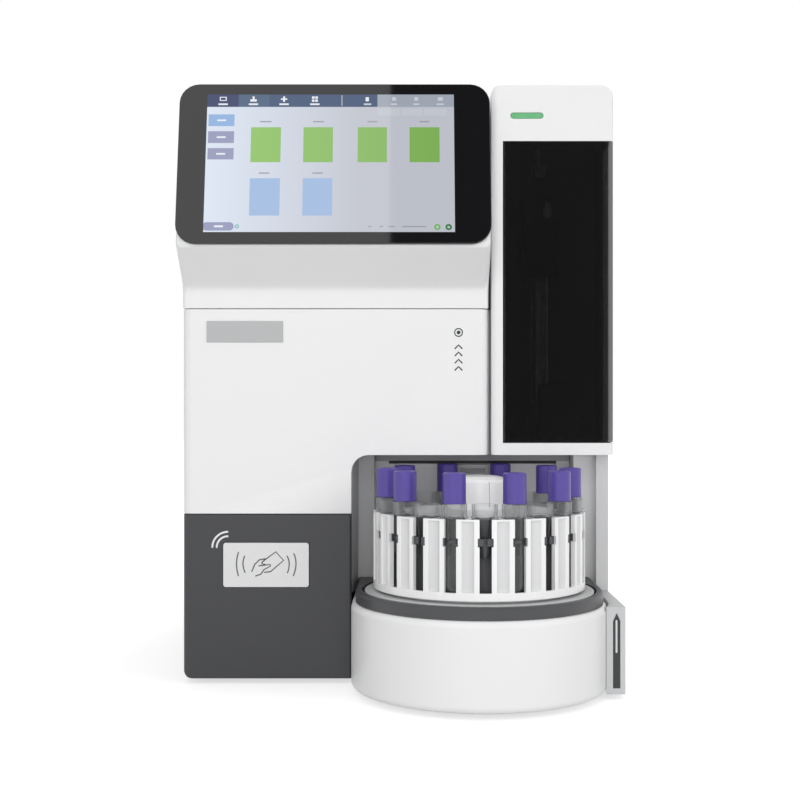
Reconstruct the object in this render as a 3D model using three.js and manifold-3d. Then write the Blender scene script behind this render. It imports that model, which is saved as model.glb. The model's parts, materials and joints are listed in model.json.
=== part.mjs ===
// A benchtop glycohemoglobin analyzer, in millimetres, with +Z up.
// The front faces -Y. The origin lies on the bench, under the middle of the unit's outline.
import * as THREE from 'three';
import { mergeVertices } from 'three/addons/utils/BufferGeometryUtils.js';
import Module from 'manifold-3d';

const wasm = await Module();
wasm.setup();

// Overall sizes and clearances
const unit = { width: 330.9, depth: 440, height: 459.2, wall: 4, cornerRadius: 10 };
const fit = 0.3; // between pieces that seat on each other
const seam = 0.6; // between cover panels
const running = 0.5; // round what turns or slides
const overrun = 20; // how far a cutting shape passes through what it cuts

// Base and feet
const foot = { height: 4, radius: 10, taper: 1.5, inset: 28, drumSetback: 36 };
const base = {
  height: 126, cornerRadius: 7, fasciaDepth: 14, sideStep: 3.7, edgeRadius: 1.5, plate: 4,
};
const reader = { width: 65.7, height: 34, fromLeft: 31.3, fromTop: 21.8, depth: 1.5, thickness: 2, radius: 2 };

// Carousel drum, its deck and the pod beside it
const drum = {
  radius: 95.6, axisInset: 104.9, reach: 118, height: 63.4, wall: 4, sideGap: 0.95, shoulder: 5,
  mouthRadius: 88,
};
const deck = { outerRadius: 92.3, draft: 2, boreRadius: 87.6, height: 8.8 };
const pod = {
  front: 31.5, width: 14.65, slotWidth: 5.3, slotDepth: 0.8, slotInset: 4.1, slotLift: 4.3, slotPoint: 6,
};

// Sample carousel
const rotor = { radius: 85.6, height: 6.5, padRadius: 72, padHeight: 1.5, bossRadius: 14, bossHeight: 5 };
const tray = {
  radius: 79, height: 56.7, floor: 4.4, rim: 5.7, places: 20, circleRadius: 68.5, pocketRadius: 8.2,
  slotWidth: 8.5, innerRadius: 55, boreRadius: 7, notchWidth: 11, notchHeight: 6, notchDrop: 13,
  fluteRadius: 5, fluteDepth: 1.7, fluteEnd: 3,
};
const hub = { radius: 26, height: 77.4, dome: 3, neckRadius: 23, neckDrop: 24, groove: 0.8 };
const collar = { outerRadius: 9.2, boreRadius: 7.2, height: 8.4, plate: 1.2, plateOverhang: 0.4 };
const tube = {
  radius: 6.5, wall: 1.2, length: 75, capRadius: 8.4, capHeight: 21.6, capOverlap: 12.8, septumRadius: 1.9,
  crown: 0.8, count: 10,
};
const shaft = { radius: 6, lift: 3, socketRadius: 11, socketHeight: 12 };
const gear = { module: 1.8, teeth: 48, pinionTeeth: 12, width: 7, lift: 44, bearing: 160, hubRadius: 15 };
const motor = { width: 35, height: 30, shaftRadius: 2.5, shaftDepth: 6, flange: 3, cornerRadius: 4 };

// Carousel bay
const bay = {
  roofHeight: 175.5, cornerRadius: 13, sideDepth: 42.6, recessDepth: 69, recessHalfWidth: 79.5, draft: 3.8,
  rightWall: 2.6, backWall: 3, sideFront: 26.6,
};
const header = { height: 7, depth: 6.5, lip: 2, lipInset: 11 };
const scanner = { width: 26, height: 10, depth: 6.5, drop: 10.5, windowDepth: 1, windowInset: 3, windowHeight: 4 };

// Front door and its latch
const door = {
  thickness: 14, skin: 3, rightRadius: 9, rim: 8, barrel: 14, rib: 2.5, ribsAcross: 4, ribsUp: 2, innerRadius: 4,
  pinRadius: 1.6, socket: 4,
};
const latch = { inset: 23.1, drop: 17.9, radius: 3.5, stem: 14, travel: 3, bodyWidth: 15, bossWidth: 14 };
const frame = { depth: 108, thickness: 3 };

// Display head
const glass = {
  height: 127, topDrop: 1.6, topReach: 10.4, tilt: THREE.MathUtils.degToRad(12), thickness: 3, radius: 15,
};
const head = { chinDrop: 45.4, lipHeight: 15.2, chinRadius: 13, lipRadius: 6, bevel: 3.5, depth: 82, wall: 4 };
const lcd = { width: 190, height: 113, thickness: 4, lift: 7, shift: -2 };

// Sampling tower
const tower = {
  width: 93.7, edgeRadius: 6.5, floor: 4, backDepth: 52, web: 4, seam: 2.3, shelfDrop: 42, shelf: 4,
  bearingWidth: 16, bearingHeight: 8, bearingLift: 21, needleHole: 4,
};
const pane = {
  leftInset: 8.6, bottomLift: 9.2, topDrop: 42.8, thickness: 3.5, sideDepth: 46, cornerRadius: 4, knuckle: 3,
  pinRadius: 1.2, rebate: 1.2,
};
const light = { width: 24.9, height: 4.2, drop: 23.3, inset: 27.1, depth: 3, cavity: 6 };
const needle = { radius: 1.1, hubRadius: 4, hubHeight: 9, tipLength: 4, park: 12.5, place: 7 };
const carriage = {
  width: 25, lowerHeight: 46.5, upperHeight: 34, headroom: 24.1, reach: 38, upperReach: 22, shift: -4, upperShift: -3,
  cornerRadius: 2,
};
const rail = { width: 12, depth: 6, clearTop: 11, clearBottom: 8 };
const screw = { radius: 3.5, standOff: 15, shift: -5.5 };
const lift = { width: 28, height: 28, cornerRadius: 3 };
const wash = {
  width: 32, depth: 24, height: 50.5, boreRadius: 3.2, shift: 9.5, nipple: 2.5, nippleLength: 5, chamfer: 3,
};

// Separation module behind the front door. Upright shares are of the compartment's clear height.
const oven = {
  heightShare: 0.585, liftShare: 0.28, depth: 74, fromLeft: 12, grooveShare: 0.13, cornerShare: 0.065, lipShare: 0.19,
};
const column = { radiusShare: 0.6, nutShare: 0.82, nutLength: 11, capillaryShare: 0.2, capillaryLength: 5 };
const valve = {
  radiusShare: 0.161, depth: 48, clearance: 18.6, statorShare: 0.765, statorDepth: 14, ports: 6, portShare: 0.14,
  portReachShare: 0.5, portLength: 5,
};
const pump = {
  width: 26, heightShare: 0.436, depth: 52, headShare: 0.22, headDepth: 15, nutShare: 0.076, nutLengthShare: 0.15,
};

// Rear panel and what it carries
const back = { setIn: 14, thickness: 2 };
const inlet = {
  width: 30, height: 62, flange: 2.2, bodyWidth: 27, bodyHeight: 58, bodyDepth: 22, socketWidth: 24, socketHeight: 17,
  socketDepth: 15, socketLift: 8, radius: 2, shift: 118, lift: 50, switchWidth: 14, switchHeight: 20,
};
const rocker = { pivotDepth: 4, tilt: THREE.MathUtils.degToRad(8), thickness: 4, swell: 3 };
const ports = {
  width: 64, height: 20, flange: 2, depth: 16, shift: 67.45, lift: 60, netWidth: 12, netHeight: 10, usbWidth: 13,
  usbHeight: 5.6, margin: 5, socketDepth: 11,
};
const fan = {
  radius: 20, inset: 69.45, lift: 300, guard: 1.6, guardWidth: 46, spoke: 3, hubRadius: 8, blades: 7, bladeThick: 1.4,
  depth: 8, chordShare: 0.9, pitch: THREE.MathUtils.degToRad(36), pinRadius: 1.5, pinLength: 11, ringWidth: 2,
  rings: 1, cornerRadius: 3,
};
const fitting = {
  radius: 8, flange: 2, barbRadius: 4, barbLength: 9, boreRadius: 1.8, inset: 105.45, lift: 40, stem: 8,
};

// How finely round shapes are divided
const facets = {
  rod: 12, tube: 10, pocket: 10, tray: 40, wheel: 30, drum: 28, ring: 18, small: 8, nut: 6,
  arc: Math.PI / 10, wide: Math.PI / 6,
};

// Places worked out from the sizes
const left = -unit.width / 2;
const right = unit.width / 2;
const rear = unit.depth / 2;
const drumFront = -unit.depth / 2;
const frontY = drumFront + drum.reach;
const axisX = right - drum.axisInset;
const axisY = drumFront + drum.radius;
const baseTop = foot.height + base.height;
const cabinetRight = axisX - drum.radius - drum.sideGap;
const cabinetInner = cabinetRight - base.sideStep;
const drumTop = foot.height + drum.height;
const deckTop = drumTop + deck.height + fit;
const towerLeft = right - tower.width;
const doorRight = towerLeft - tower.seam;
const doorBack = frontY + door.thickness;
const panelFront = doorBack + fit;
const glassTop = unit.height - glass.topDrop;
const glassTopY = frontY - glass.topReach;
const glassBottom = glassTop - glass.height * Math.cos(glass.tilt);
const glassBottomY = glassTopY - glass.height * Math.sin(glass.tilt);
const headBottom = glassBottom - head.chinDrop;
const headRear = frontY + head.depth;
const doorTop = headBottom - seam;
const doorBottom = baseTop + seam;
const glassMiddle = (left + doorRight) / 2;
const glassWidth = doorRight - left;
const rotorTop = deckTop;
const trayBottom = rotorTop + rotor.padHeight + fit;
const trayTop = trayBottom + tray.height;
const trayFloor = trayBottom + tray.floor;
const trayRim = trayBottom + tray.rim;
const collarTop = trayTop + fit + collar.plate + collar.height;
const tubeBottom = trayFloor + fit;
const placeAngle = (2 * Math.PI) / tray.places;
const bayBack = frontY + bay.recessDepth;
const baySide = frontY + bay.sideDepth;
const bayRight = right - unit.wall - fit;
const bayFront = frontY + bay.sideFront;
const frameRear = panelFront + frame.depth;
const hingeX = left + door.thickness / 2;
const hingeY = frontY + door.thickness / 2;
const knuckleX = right - pane.knuckle;
const knuckleY = frontY + pane.sideDepth;
const paneLeft = towerLeft + pane.leftInset;
const paneBottom = bay.roofHeight + pane.bottomLift;
const paneTop = unit.height - pane.topDrop;
const webFront = frontY + tower.backDepth;
const towerFloor = bay.roofHeight + tower.floor;
const needleX = axisX + tray.circleRadius * Math.sin(needle.place * placeAngle);
const needleY = axisY - tray.circleRadius * Math.cos(needle.place * placeAngle);
const needleTip = bay.roofHeight + needle.park;
const shelfTop = unit.height - tower.shelfDrop + tower.shelf;
const carriageHeight = carriage.lowerHeight + carriage.upperHeight;
const carriageBottom = shelfTop - tower.shelf - carriage.headroom - carriageHeight;
const fanX = right - fan.inset;
const portsX = left + inlet.shift + ports.shift;
const fittingX = right - fitting.inset;
const roomLeft = left + unit.wall + fit + frame.thickness;
const roomFloor = bay.roofHeight + fit + frame.thickness;
const roomHeight = headBottom - seam - frame.thickness - roomFloor;
const ovenLeft = roomLeft + oven.fromLeft;
const ovenBottom = roomFloor + roomHeight * oven.liftShare;
const ovenTop = ovenBottom + roomHeight * oven.heightShare;
const ovenRear = frameRear - frame.thickness - fit;
const ovenFront = ovenRear - oven.depth;
const grooveRadius = (ovenTop - ovenBottom) * oven.grooveShare;
const columnZ = (ovenBottom + ovenTop) / 2;
const pumpX = towerLeft - frame.thickness - seam - pump.width;
const valveRadius = roomHeight * valve.radiusShare;
const valveX = pumpX - pump.width / 2 - valve.clearance - valveRadius;
const ovenRight = valveX - valveRadius - valve.clearance;
const shelfBottom = unit.height - tower.shelfDrop;
const screwX = needleX + screw.shift;
const screwY = webFront - screw.standOff;
const bearingBottom = bay.roofHeight + tower.bearingLift;
const bearingTop = bearingBottom + tower.bearingHeight;
const carriageX = needleX + carriage.shift;
const carriageTop = carriageBottom + carriage.lowerHeight;
const shaftBottom = foot.height + drum.wall + shaft.lift;
const gearBottom = foot.height + gear.lift;
const gearRadius = (gear.module * gear.teeth) / 2;
const pinionRadius = (gear.module * gear.pinionTeeth) / 2;
const pinionAngle = THREE.MathUtils.degToRad(gear.bearing);
const pinionX = axisX + (gearRadius + pinionRadius) * Math.cos(pinionAngle);
const pinionY = axisY + (gearRadius + pinionRadius) * Math.sin(pinionAngle);
const motorTop = foot.height + drum.wall + motor.height;
const panelBack = rear - back.setIn;
const panelInner = panelBack - back.thickness;

// A closed geometry as a solid that can be cut and joined
function solid(geometry) {
  const bare = geometry.clone();
  bare.deleteAttribute('normal');
  bare.deleteAttribute('uv');
  const merged = mergeVertices(bare);
  const vertProperties = new Float32Array(merged.attributes.position.array);
  const triVerts = new Uint32Array(merged.index.array);
  return new wasm.Manifold(new wasm.Mesh({ numProp: 3, vertProperties, triVerts }));
}

// A solid as a geometry that a mesh can show
function surface(body) {
  const mesh = body.getMesh();
  const geometry = new THREE.BufferGeometry();
  geometry.setAttribute('position', new THREE.BufferAttribute(mesh.vertProperties, 3));
  geometry.setIndex(new THREE.BufferAttribute(mesh.triVerts, 1));
  return geometry;
}

// A body with every cutter taken out of it
function cut(body, ...cutters) {
  return cutters.flat().reduce((whole, cutter) => whole.subtract(cutter), body);
}

// A solid turned about the Z axis
function spun(body, angle) {
  return solid(surface(body).rotateZ(angle));
}

// Solids joined into one
function join(...bodies) {
  return bodies.flat().reduce((whole, body) => whole.add(body));
}

// An outline of corners [x, y, radius], run anticlockwise, with each radius as an arc
function outline(corners, arcStep = facets.arc) {
  const points = [];
  const count = corners.length;
  corners.forEach(([x, y, radius = 0], index) => {
    const here = new THREE.Vector2(x, y);
    if (!radius) {
      points.push(here);
      return;
    }
    const [beforeX, beforeY] = corners[(index + count - 1) % count];
    const [afterX, afterY] = corners[(index + 1) % count];
    const backward = new THREE.Vector2(beforeX, beforeY).sub(here).normalize();
    const forward = new THREE.Vector2(afterX, afterY).sub(here).normalize();
    const half = backward.angleTo(forward) / 2;
    const middle = backward.clone().add(forward).normalize();
    const centre = here.clone().addScaledVector(middle, radius / Math.sin(half));
    const start = here.clone().addScaledVector(backward, radius / Math.tan(half)).sub(centre);
    const sweep = (Math.PI - 2 * half) * (backward.cross(forward) < 0 ? 1 : -1);
    const steps = Math.max(1, Math.ceil(Math.abs(sweep) / arcStep));
    for (let step = 0; step <= steps; step += 1) {
      points.push(start.clone().rotateAround(new THREE.Vector2(), (sweep * step) / steps).add(centre));
    }
  });
  const distinct = points.filter((point, index) => {
    const previous = points[(index + points.length - 1) % points.length];
    return point.distanceTo(previous) > fit / 10;
  });
  return new THREE.Shape(distinct);
}

// The corners of a rectangle with one radius all round
function rectangle(x0, x1, y0, y1, radius = 0) {
  return [[x0, y0, radius], [x1, y0, radius], [x1, y1, radius], [x0, y1, radius]];
}

// An outline in X and Y raised from z0 to z1
function raised(shape, z0, z1) {
  const geometry = new THREE.ExtrudeGeometry(shape, { depth: z1 - z0, bevelEnabled: false });
  return solid(geometry.translate(0, 0, z0));
}

// An outline in X and Z run back from y0 to y1
function deepened(shape, y0, y1) {
  const geometry = new THREE.ExtrudeGeometry(shape, { depth: y1 - y0, bevelEnabled: false });
  return solid(geometry.rotateX(Math.PI / 2).translate(0, y1, 0));
}

// An outline in Y and Z run across from x0 to x1
const acrossBasis = new THREE.Matrix4().makeBasis(
  new THREE.Vector3(0, 1, 0),
  new THREE.Vector3(0, 0, 1),
  new THREE.Vector3(1, 0, 0),
);
function crossed(shape, x0, x1) {
  const geometry = new THREE.ExtrudeGeometry(shape, { depth: x1 - x0, bevelEnabled: false });
  return solid(geometry.applyMatrix4(acrossBasis).translate(x0, 0, 0));
}

// A plain block between two corners
function block(x0, x1, y0, y1, z0, z1) {
  const geometry = new THREE.BoxGeometry(x1 - x0, y1 - y0, z1 - z0);
  return solid(geometry.translate((x0 + x1) / 2, (y0 + y1) / 2, (z0 + z1) / 2));
}

// Round bars standing up, running back and running across
function post(radius, x, y, z0, z1, sides = facets.rod) {
  const geometry = new THREE.CylinderGeometry(radius, radius, z1 - z0, sides);
  return solid(geometry.rotateX(Math.PI / 2).translate(x, y, (z0 + z1) / 2));
}
function spindle(radius, x, z, y0, y1, sides = facets.rod) {
  const geometry = new THREE.CylinderGeometry(radius, radius, y1 - y0, sides);
  return solid(geometry.translate(x, (y0 + y1) / 2, z));
}
function bar(radius, y, z, x0, x1, sides = facets.rod) {
  const geometry = new THREE.CylinderGeometry(radius, radius, x1 - x0, sides);
  return solid(geometry.rotateZ(Math.PI / 2).translate((x0 + x1) / 2, y, z));
}

// A profile of [radius, z] turned about the Z axis, run from the bottom to the top on the outside
function turned(profile, sides = facets.rod) {
  const points = profile.map(([radius, z]) => new THREE.Vector2(radius, z));
  return solid(new THREE.LatheGeometry(points, sides).rotateX(Math.PI / 2));
}

// The L of the front panels' left column and upper part, moved in by an inset
function ellCorners(x0, xStep, x1, z0, zStep, z1, stepRadius = 0, cornerRadius = 0) {
  return [
    [x0, z0, cornerRadius], [xStep, z0, cornerRadius], [xStep, zStep, stepRadius],
    [x1, zStep, cornerRadius], [x1, z1, cornerRadius], [x0, z1, cornerRadius],
  ];
}

// The outline of the drum seen from above: a half circle to the front and straight sides to the back
function drumOutline(radius, back, sides = facets.drum) {
  const points = [];
  for (let step = 0; step <= sides; step += 1) {
    const angle = Math.PI + (Math.PI * step) / sides;
    points.push(new THREE.Vector2(axisX + radius * Math.cos(angle), axisY + radius * Math.sin(angle)));
  }
  points.push(new THREE.Vector2(axisX + radius, back), new THREE.Vector2(axisX - radius, back));
  return new THREE.Shape(points);
}

// Base and feet
function makeBaseCabinet() {
  const plan = outline([
    [left, frontY, base.cornerRadius], [cabinetRight, frontY, base.edgeRadius],
    [cabinetRight, frontY + base.fasciaDepth], [cabinetInner, frontY + base.fasciaDepth],
    [cabinetInner, rear], [left, rear, base.cornerRadius],
  ]);
  const front = outline([
    [left, foot.height, base.cornerRadius], [cabinetRight, foot.height], [cabinetRight, baseTop], [left, baseTop],
  ]);
  const body = raised(plan, foot.height, baseTop).intersect(deepened(front, frontY, rear));
  const readerPocket = deepened(readerOutline(fit), frontY - overrun, frontY + reader.depth);
  const pinSocket = post(door.pinRadius + fit, hingeX, hingeY, baseTop - door.socket, baseTop + overrun);
  return cut(body, readerPocket, pinSocket);
}

function readerOutline(clearance) {
  const x0 = left + reader.fromLeft - clearance;
  const top = baseTop - reader.fromTop + clearance;
  const x1 = x0 + reader.width + 2 * clearance;
  return outline(rectangle(x0, x1, top - reader.height - 2 * clearance, top, reader.radius));
}

function makeCardReaderWindow() {
  const seat = frontY + reader.depth - fit;
  return deepened(readerOutline(0), seat - reader.thickness, seat);
}

function makeBasePlate() {
  return block(
    cabinetInner + fit, right - unit.wall - fit,
    bayBack + bay.backWall + fit, panelInner - fit,
    foot.height, foot.height + base.plate,
  );
}

function makeFoot() {
  return turned([[0, 0], [foot.radius - foot.taper, 0], [foot.radius, foot.height], [0, foot.height]]);
}

// Covers
function makeMainCover() {
  const bottom = foot.height;
  const shell = (inset) => outline([
    [left + inset, bottom - inset], [right - inset, bottom - inset],
    [right - inset, unit.height - inset, unit.cornerRadius - inset],
    [left + inset, unit.height - inset, glass.radius - inset],
  ]);
  const body = cut(
    deepened(shell(0), panelFront, rear),
    deepened(shell(unit.wall), panelFront - overrun, rear + overrun),
  );
  const overHead = block(
    left - overrun, right + overrun, panelFront - overrun, headRear + fit, headBottom - seam, unit.height + overrun,
  );
  const beforeTower = block(
    0, right + overrun, panelFront - overrun, headRear + fit, bay.roofHeight - fit, unit.height + overrun,
  );
  const beforeBay = block(0, right + overrun, panelFront - overrun, bayFront, 0, bay.roofHeight);
  const overBase = block(left - overrun, 0, panelFront - overrun, rear + overrun, 0, doorBottom);
  return cut(body, overHead, beforeTower, beforeBay, overBase);
}

function makeRearPanel() {
  const x0 = left + unit.wall + fit;
  const x1 = right - unit.wall - fit;
  const top = unit.height - unit.wall - fit;
  const corners = [
    [x0, doorBottom], [cabinetInner + fit, doorBottom], [cabinetInner + fit, foot.height + fit],
    [x1, foot.height + fit], [x1, top, unit.cornerRadius - unit.wall], [x0, top, glass.radius - unit.wall],
  ];
  const plate = deepened(outline(corners), panelInner, panelBack);
  const inletHole = deepened(inletOutline(inlet.bodyWidth, inlet.bodyHeight, fit), panelInner - overrun, rear);
  const portsHole = deepened(portsOutline(fit), panelInner - overrun, rear);
  const fanHole = spindle(fan.radius + seam, fanX, fan.lift, panelInner - overrun, rear, facets.ring);
  const drainHole = spindle(
    fitting.barbRadius + seam, fittingX, fitting.lift, panelInner - overrun, rear,
  );
  return cut(plate, inletHole, portsHole, fanHole, drainHole);
}

// Separation module behind the front door
function makeModuleFrame() {
  const x0 = left + unit.wall + fit;
  const x1 = towerLeft - seam;
  const top = headBottom - seam;
  const sheet = frame.thickness;
  const floor = bay.roofHeight + fit;
  const outer = ellCorners(x0, cabinetInner, x1, baseTop + fit, floor, top);
  const inner = ellCorners(
    x0 + sheet, cabinetInner - sheet, x1 - sheet, baseTop + fit + sheet, floor + sheet, top - sheet,
  );
  const tub = cut(
    deepened(outline(outer), panelFront, frameRear),
    deepened(outline(inner), panelFront - overrun, frameRear - sheet),
  );
  const latchBody = cut(
    block(
      latchX() - latch.bodyWidth / 2, latchX() + latch.bodyWidth / 2,
      panelFront + latch.travel, panelFront + latch.travel + latch.stem + fit + sheet,
      latchZ() - latch.bodyWidth / 2, top,
    ),
    spindle(
      latch.radius + fit, latchX(), latchZ(), panelFront - overrun, panelFront + latch.travel + latch.stem + fit,
    ),
  );
  return join(tub, latchBody);
}

function latchX() {
  return doorRight - latch.inset;
}

function latchZ() {
  return doorTop - latch.drop;
}

function makeLatchPlunger() {
  const tip = doorBack + fit;
  const stem = spindle(latch.radius, latchX(), latchZ(), tip, tip + latch.stem);
  const nose = spindle(latch.radius - seam, latchX(), latchZ(), tip, tip + latch.travel / 2);
  const step = cut(
    spindle(latch.radius + overrun, latchX(), latchZ(), tip - overrun, tip + latch.travel / 2),
    nose,
  );
  return cut(stem, step);
}

function makeColumnOven() {
  const height = ovenTop - ovenBottom;
  const lip = ovenBottom + height * oven.lipShare;
  const body = deepened(
    outline(rectangle(ovenLeft, ovenRight, ovenBottom, ovenTop, height * oven.cornerShare)), ovenFront, ovenRear,
  );
  const groove = bar(grooveRadius, ovenFront, columnZ, ovenLeft - overrun, ovenRight + overrun);
  const lidLine = block(
    ovenLeft - overrun, ovenRight + overrun, ovenFront - overrun, ovenFront + fit * 4, lip, lip + seam * 2,
  );
  return cut(body, groove, lidLine);
}

function makeColumn() {
  const middle = (ovenLeft + ovenRight) / 2;
  const nutRadius = grooveRadius * column.nutShare;
  const y = ovenFront + grooveRadius - nutRadius - fit;
  const half = (ovenRight - ovenLeft) / 2 - column.nutLength - column.capillaryLength;
  const barrel = bar(grooveRadius * column.radiusShare, y, columnZ, middle - half, middle + half);
  const nut = (side) => {
    const near = middle + side * (half - fit);
    const far = middle + side * (half + column.nutLength);
    const end = far + side * column.capillaryLength;
    return join(
      bar(nutRadius, y, columnZ, Math.min(near, far), Math.max(near, far), facets.nut),
      bar(grooveRadius * column.capillaryShare, y, columnZ, Math.min(near, end), Math.max(near, end), facets.small),
    );
  };
  return join(barrel, nut(-1), nut(1));
}

function makeInjectionValve() {
  const face = ovenRear - valve.depth;
  const nose = face - valve.statorDepth;
  const drive = spindle(valveRadius, valveX, columnZ, face, ovenRear, facets.rod);
  const stator = spindle(
    valveRadius * valve.statorShare, valveX, columnZ, nose, face + valve.statorDepth, facets.rod,
  );
  const nuts = [];
  for (let index = 0; index < valve.ports; index += 1) {
    const angle = (2 * Math.PI * index) / valve.ports;
    const reach = valveRadius * valve.portReachShare;
    nuts.push(spindle(
      valveRadius * valve.portShare, valveX + reach * Math.cos(angle), columnZ + reach * Math.sin(angle),
      nose - valve.portLength, nose + valve.portLength, facets.nut,
    ));
  }
  return join(drive, stator, nuts);
}

function makePumpHead() {
  const height = roomHeight * pump.heightShare;
  const face = ovenRear - pump.depth;
  const half = pump.width / 2;
  const body = deepened(
    outline(rectangle(
      pumpX - half, pumpX + half, columnZ - height / 2, columnZ + height / 2, height * oven.cornerShare,
    )), face, ovenRear,
  );
  const headRadius = height * pump.headShare;
  const cylinder = spindle(headRadius, pumpX, columnZ, face - pump.headDepth, face + pump.headDepth, facets.rod);
  const reach = headRadius + height * pump.nutLengthShare;
  const nuts = post(
    height * pump.nutShare, pumpX, face - pump.headDepth / 2, columnZ - reach, columnZ + reach, facets.nut,
  );
  return join(body, cylinder, nuts);
}

function makeFrontDoor() {
  const plan = outline([
    [left, frontY, door.thickness / 2], [doorRight, frontY, door.rightRadius],
    [doorRight, doorBack, base.edgeRadius], [left, doorBack, door.thickness / 2],
  ]);
  const front = outline(ellCorners(
    left, cabinetRight, doorRight, doorBottom, bay.roofHeight, doorTop, bay.cornerRadius,
  ));
  const body = raised(plan, doorBottom, doorTop).intersect(deepened(front, frontY, doorBack));
  const x0 = left + door.barrel;
  const x1 = doorRight - door.rim;
  const z0 = doorBottom + door.rim;
  const z1 = doorTop - door.rim;
  const inner = ellCorners(
    x0, cabinetRight - door.rim, x1, z0, bay.roofHeight + door.rim, z1, bay.cornerRadius, door.innerRadius,
  );
  const hollow = deepened(outline(inner, facets.wide), frontY + door.skin, doorBack + overrun);
  const ribs = [];
  for (let index = 1; index <= door.ribsAcross; index += 1) {
    const x = x0 + ((x1 - x0) * index) / (door.ribsAcross + 1);
    ribs.push(block(x, x + door.rib, frontY, doorBack + 2 * overrun, 0, doorTop));
  }
  for (let index = 1; index <= door.ribsUp; index += 1) {
    const z = z0 + ((z1 - z0) * index) / (door.ribsUp + 1);
    ribs.push(block(left, right, frontY, doorBack + 2 * overrun, z, z + door.rib));
  }
  const halfBoss = latch.bossWidth / 2;
  ribs.push(block(
    latchX() - halfBoss, latchX() + halfBoss, frontY, doorBack + 2 * overrun,
    latchZ() - halfBoss, latchZ() + halfBoss,
  ));
  const bore = post(door.pinRadius + fit, hingeX, hingeY, doorBottom - overrun, doorTop + overrun, facets.small);
  return cut(body, cut(hollow, ribs), bore);
}

function makeDoorHingePin() {
  return post(
    door.pinRadius, hingeX, hingeY, baseTop - door.socket + fit, headBottom + door.socket - fit, facets.small,
  );
}

// Display head. Its glass lies in a plane that leans back.
function makeDisplayHead() {
  const inward = glass.thickness + fit;
  const stepY = inward * Math.cos(glass.tilt);
  const stepZ = inward * Math.sin(glass.tilt);
  const lipZ = glassBottom - stepZ;
  const chinZ = headBottom + head.lipHeight;
  const side = outline([
    [frontY, headBottom - overrun], [headRear + overrun, headBottom - overrun],
    [headRear + overrun, glassTop - stepZ], [glassTopY + stepY, glassTop - stepZ, head.lipRadius],
    [glassBottomY + stepY, lipZ, head.lipRadius], [frontY, chinZ, head.chinRadius],
  ]);
  const bevelled = new THREE.ExtrudeGeometry(side, {
    depth: glassWidth - 2 * head.bevel, bevelThickness: head.bevel, bevelSize: head.bevel, bevelOffset: -head.bevel,
    bevelSegments: 2,
  });
  const body = solid(bevelled.applyMatrix4(acrossBasis).translate(left + head.bevel, 0, 0));
  const front = outline([
    [left - overrun, headBottom], [doorRight + overrun, headBottom], [doorRight + overrun, lipZ],
    [doorRight, lipZ], [doorRight, glassTop, glass.radius], [left, glassTop, glass.radius], [left, lipZ],
    [left - overrun, lipZ],
  ]);
  const trimmed = body.intersect(deepened(front, drumFront, headRear));
  const wall = head.wall + head.bevel;
  const hollow = block(
    left + wall, doorRight - wall, frontY + wall + lcd.thickness, headRear + overrun,
    headBottom + head.wall, glassTop - wall,
  );
  const lcdPocket = solid(surface(lcdBlock(fit, lcd.thickness + fit)).applyMatrix4(glassMatrix()));
  const socket = post(
    door.pinRadius + fit, hingeX, hingeY, headBottom - overrun, headBottom + door.socket, facets.small,
  );
  return cut(trimmed, hollow, lcdPocket, socket);
}

// The glass plane's own frame: X across, Y into the head, Z up the glass from its lower edge
function glassMatrix() {
  const turn = new THREE.Matrix4().makeRotationX(-glass.tilt);
  return new THREE.Matrix4().makeTranslation(glassMiddle, glassBottomY, glassBottom).multiply(turn);
}

function lcdBlock(clearance, depth) {
  const half = lcd.width / 2 + clearance;
  const start = glass.thickness + fit;
  return block(
    lcd.shift - half, lcd.shift + half, start - clearance, start + depth,
    lcd.lift - clearance, lcd.lift + lcd.height + clearance,
  );
}

function makeDisplayGlass() {
  const half = glassWidth / 2;
  return deepened(outline(rectangle(-half, half, 0, glass.height, glass.radius)), 0, glass.thickness);
}

function makeLcdPanel() {
  return lcdBlock(0, lcd.thickness);
}

// Sampling tower
function makeTowerHousing() {
  const plan = outline([
    [towerLeft, frontY, tower.edgeRadius], [right, frontY, pane.cornerRadius],
    [right, headRear], [towerLeft, headRear],
  ]);
  const front = outline([
    [towerLeft, bay.roofHeight], [right, bay.roofHeight], [right, unit.height, unit.cornerRadius],
    [towerLeft, unit.height, head.lipRadius],
  ]);
  const body = raised(plan, bay.roofHeight, unit.height).intersect(deepened(front, frontY, headRear));
  const inX = towerLeft + unit.wall;
  const outX = right - unit.wall;
  const cellTop = unit.height - unit.wall;
  const lowerRoom = block(inX, outX, frontY + unit.wall, webFront, towerFloor, shelfBottom);
  const upperRoom = block(inX, outX, frontY + unit.wall + light.cavity, webFront, shelfTop, cellTop);
  const rearRoom = block(inX, outX, webFront + tower.web, headRear + overrun, towerFloor, cellTop);
  const opening = windowOpening();
  const needleHole = post(tower.needleHole, needleX, needleY, bay.roofHeight - overrun, towerFloor + overrun);
  const screwHole = post(screw.radius + running, screwX, screwY, shelfBottom - overrun, shelfTop + overrun);
  const lens = deepened(lightOutline(fit), frontY - overrun, frontY + light.depth + fit);
  const bearing = cut(
    block(
      screwX - tower.bearingWidth / 2, screwX + tower.bearingWidth / 2,
      screwY - tower.bearingWidth / 2, webFront + tower.web / 2, bearingBottom, bearingTop,
    ),
    post(screw.radius + running, screwX, screwY, bearingBottom + tower.web, bearingTop + overrun),
  );
  const hollowed = cut(body, lowerRoom, upperRoom, rearRoom, opening, needleHole, screwHole, lens);
  return join(hollowed, bearing);
}

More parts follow.
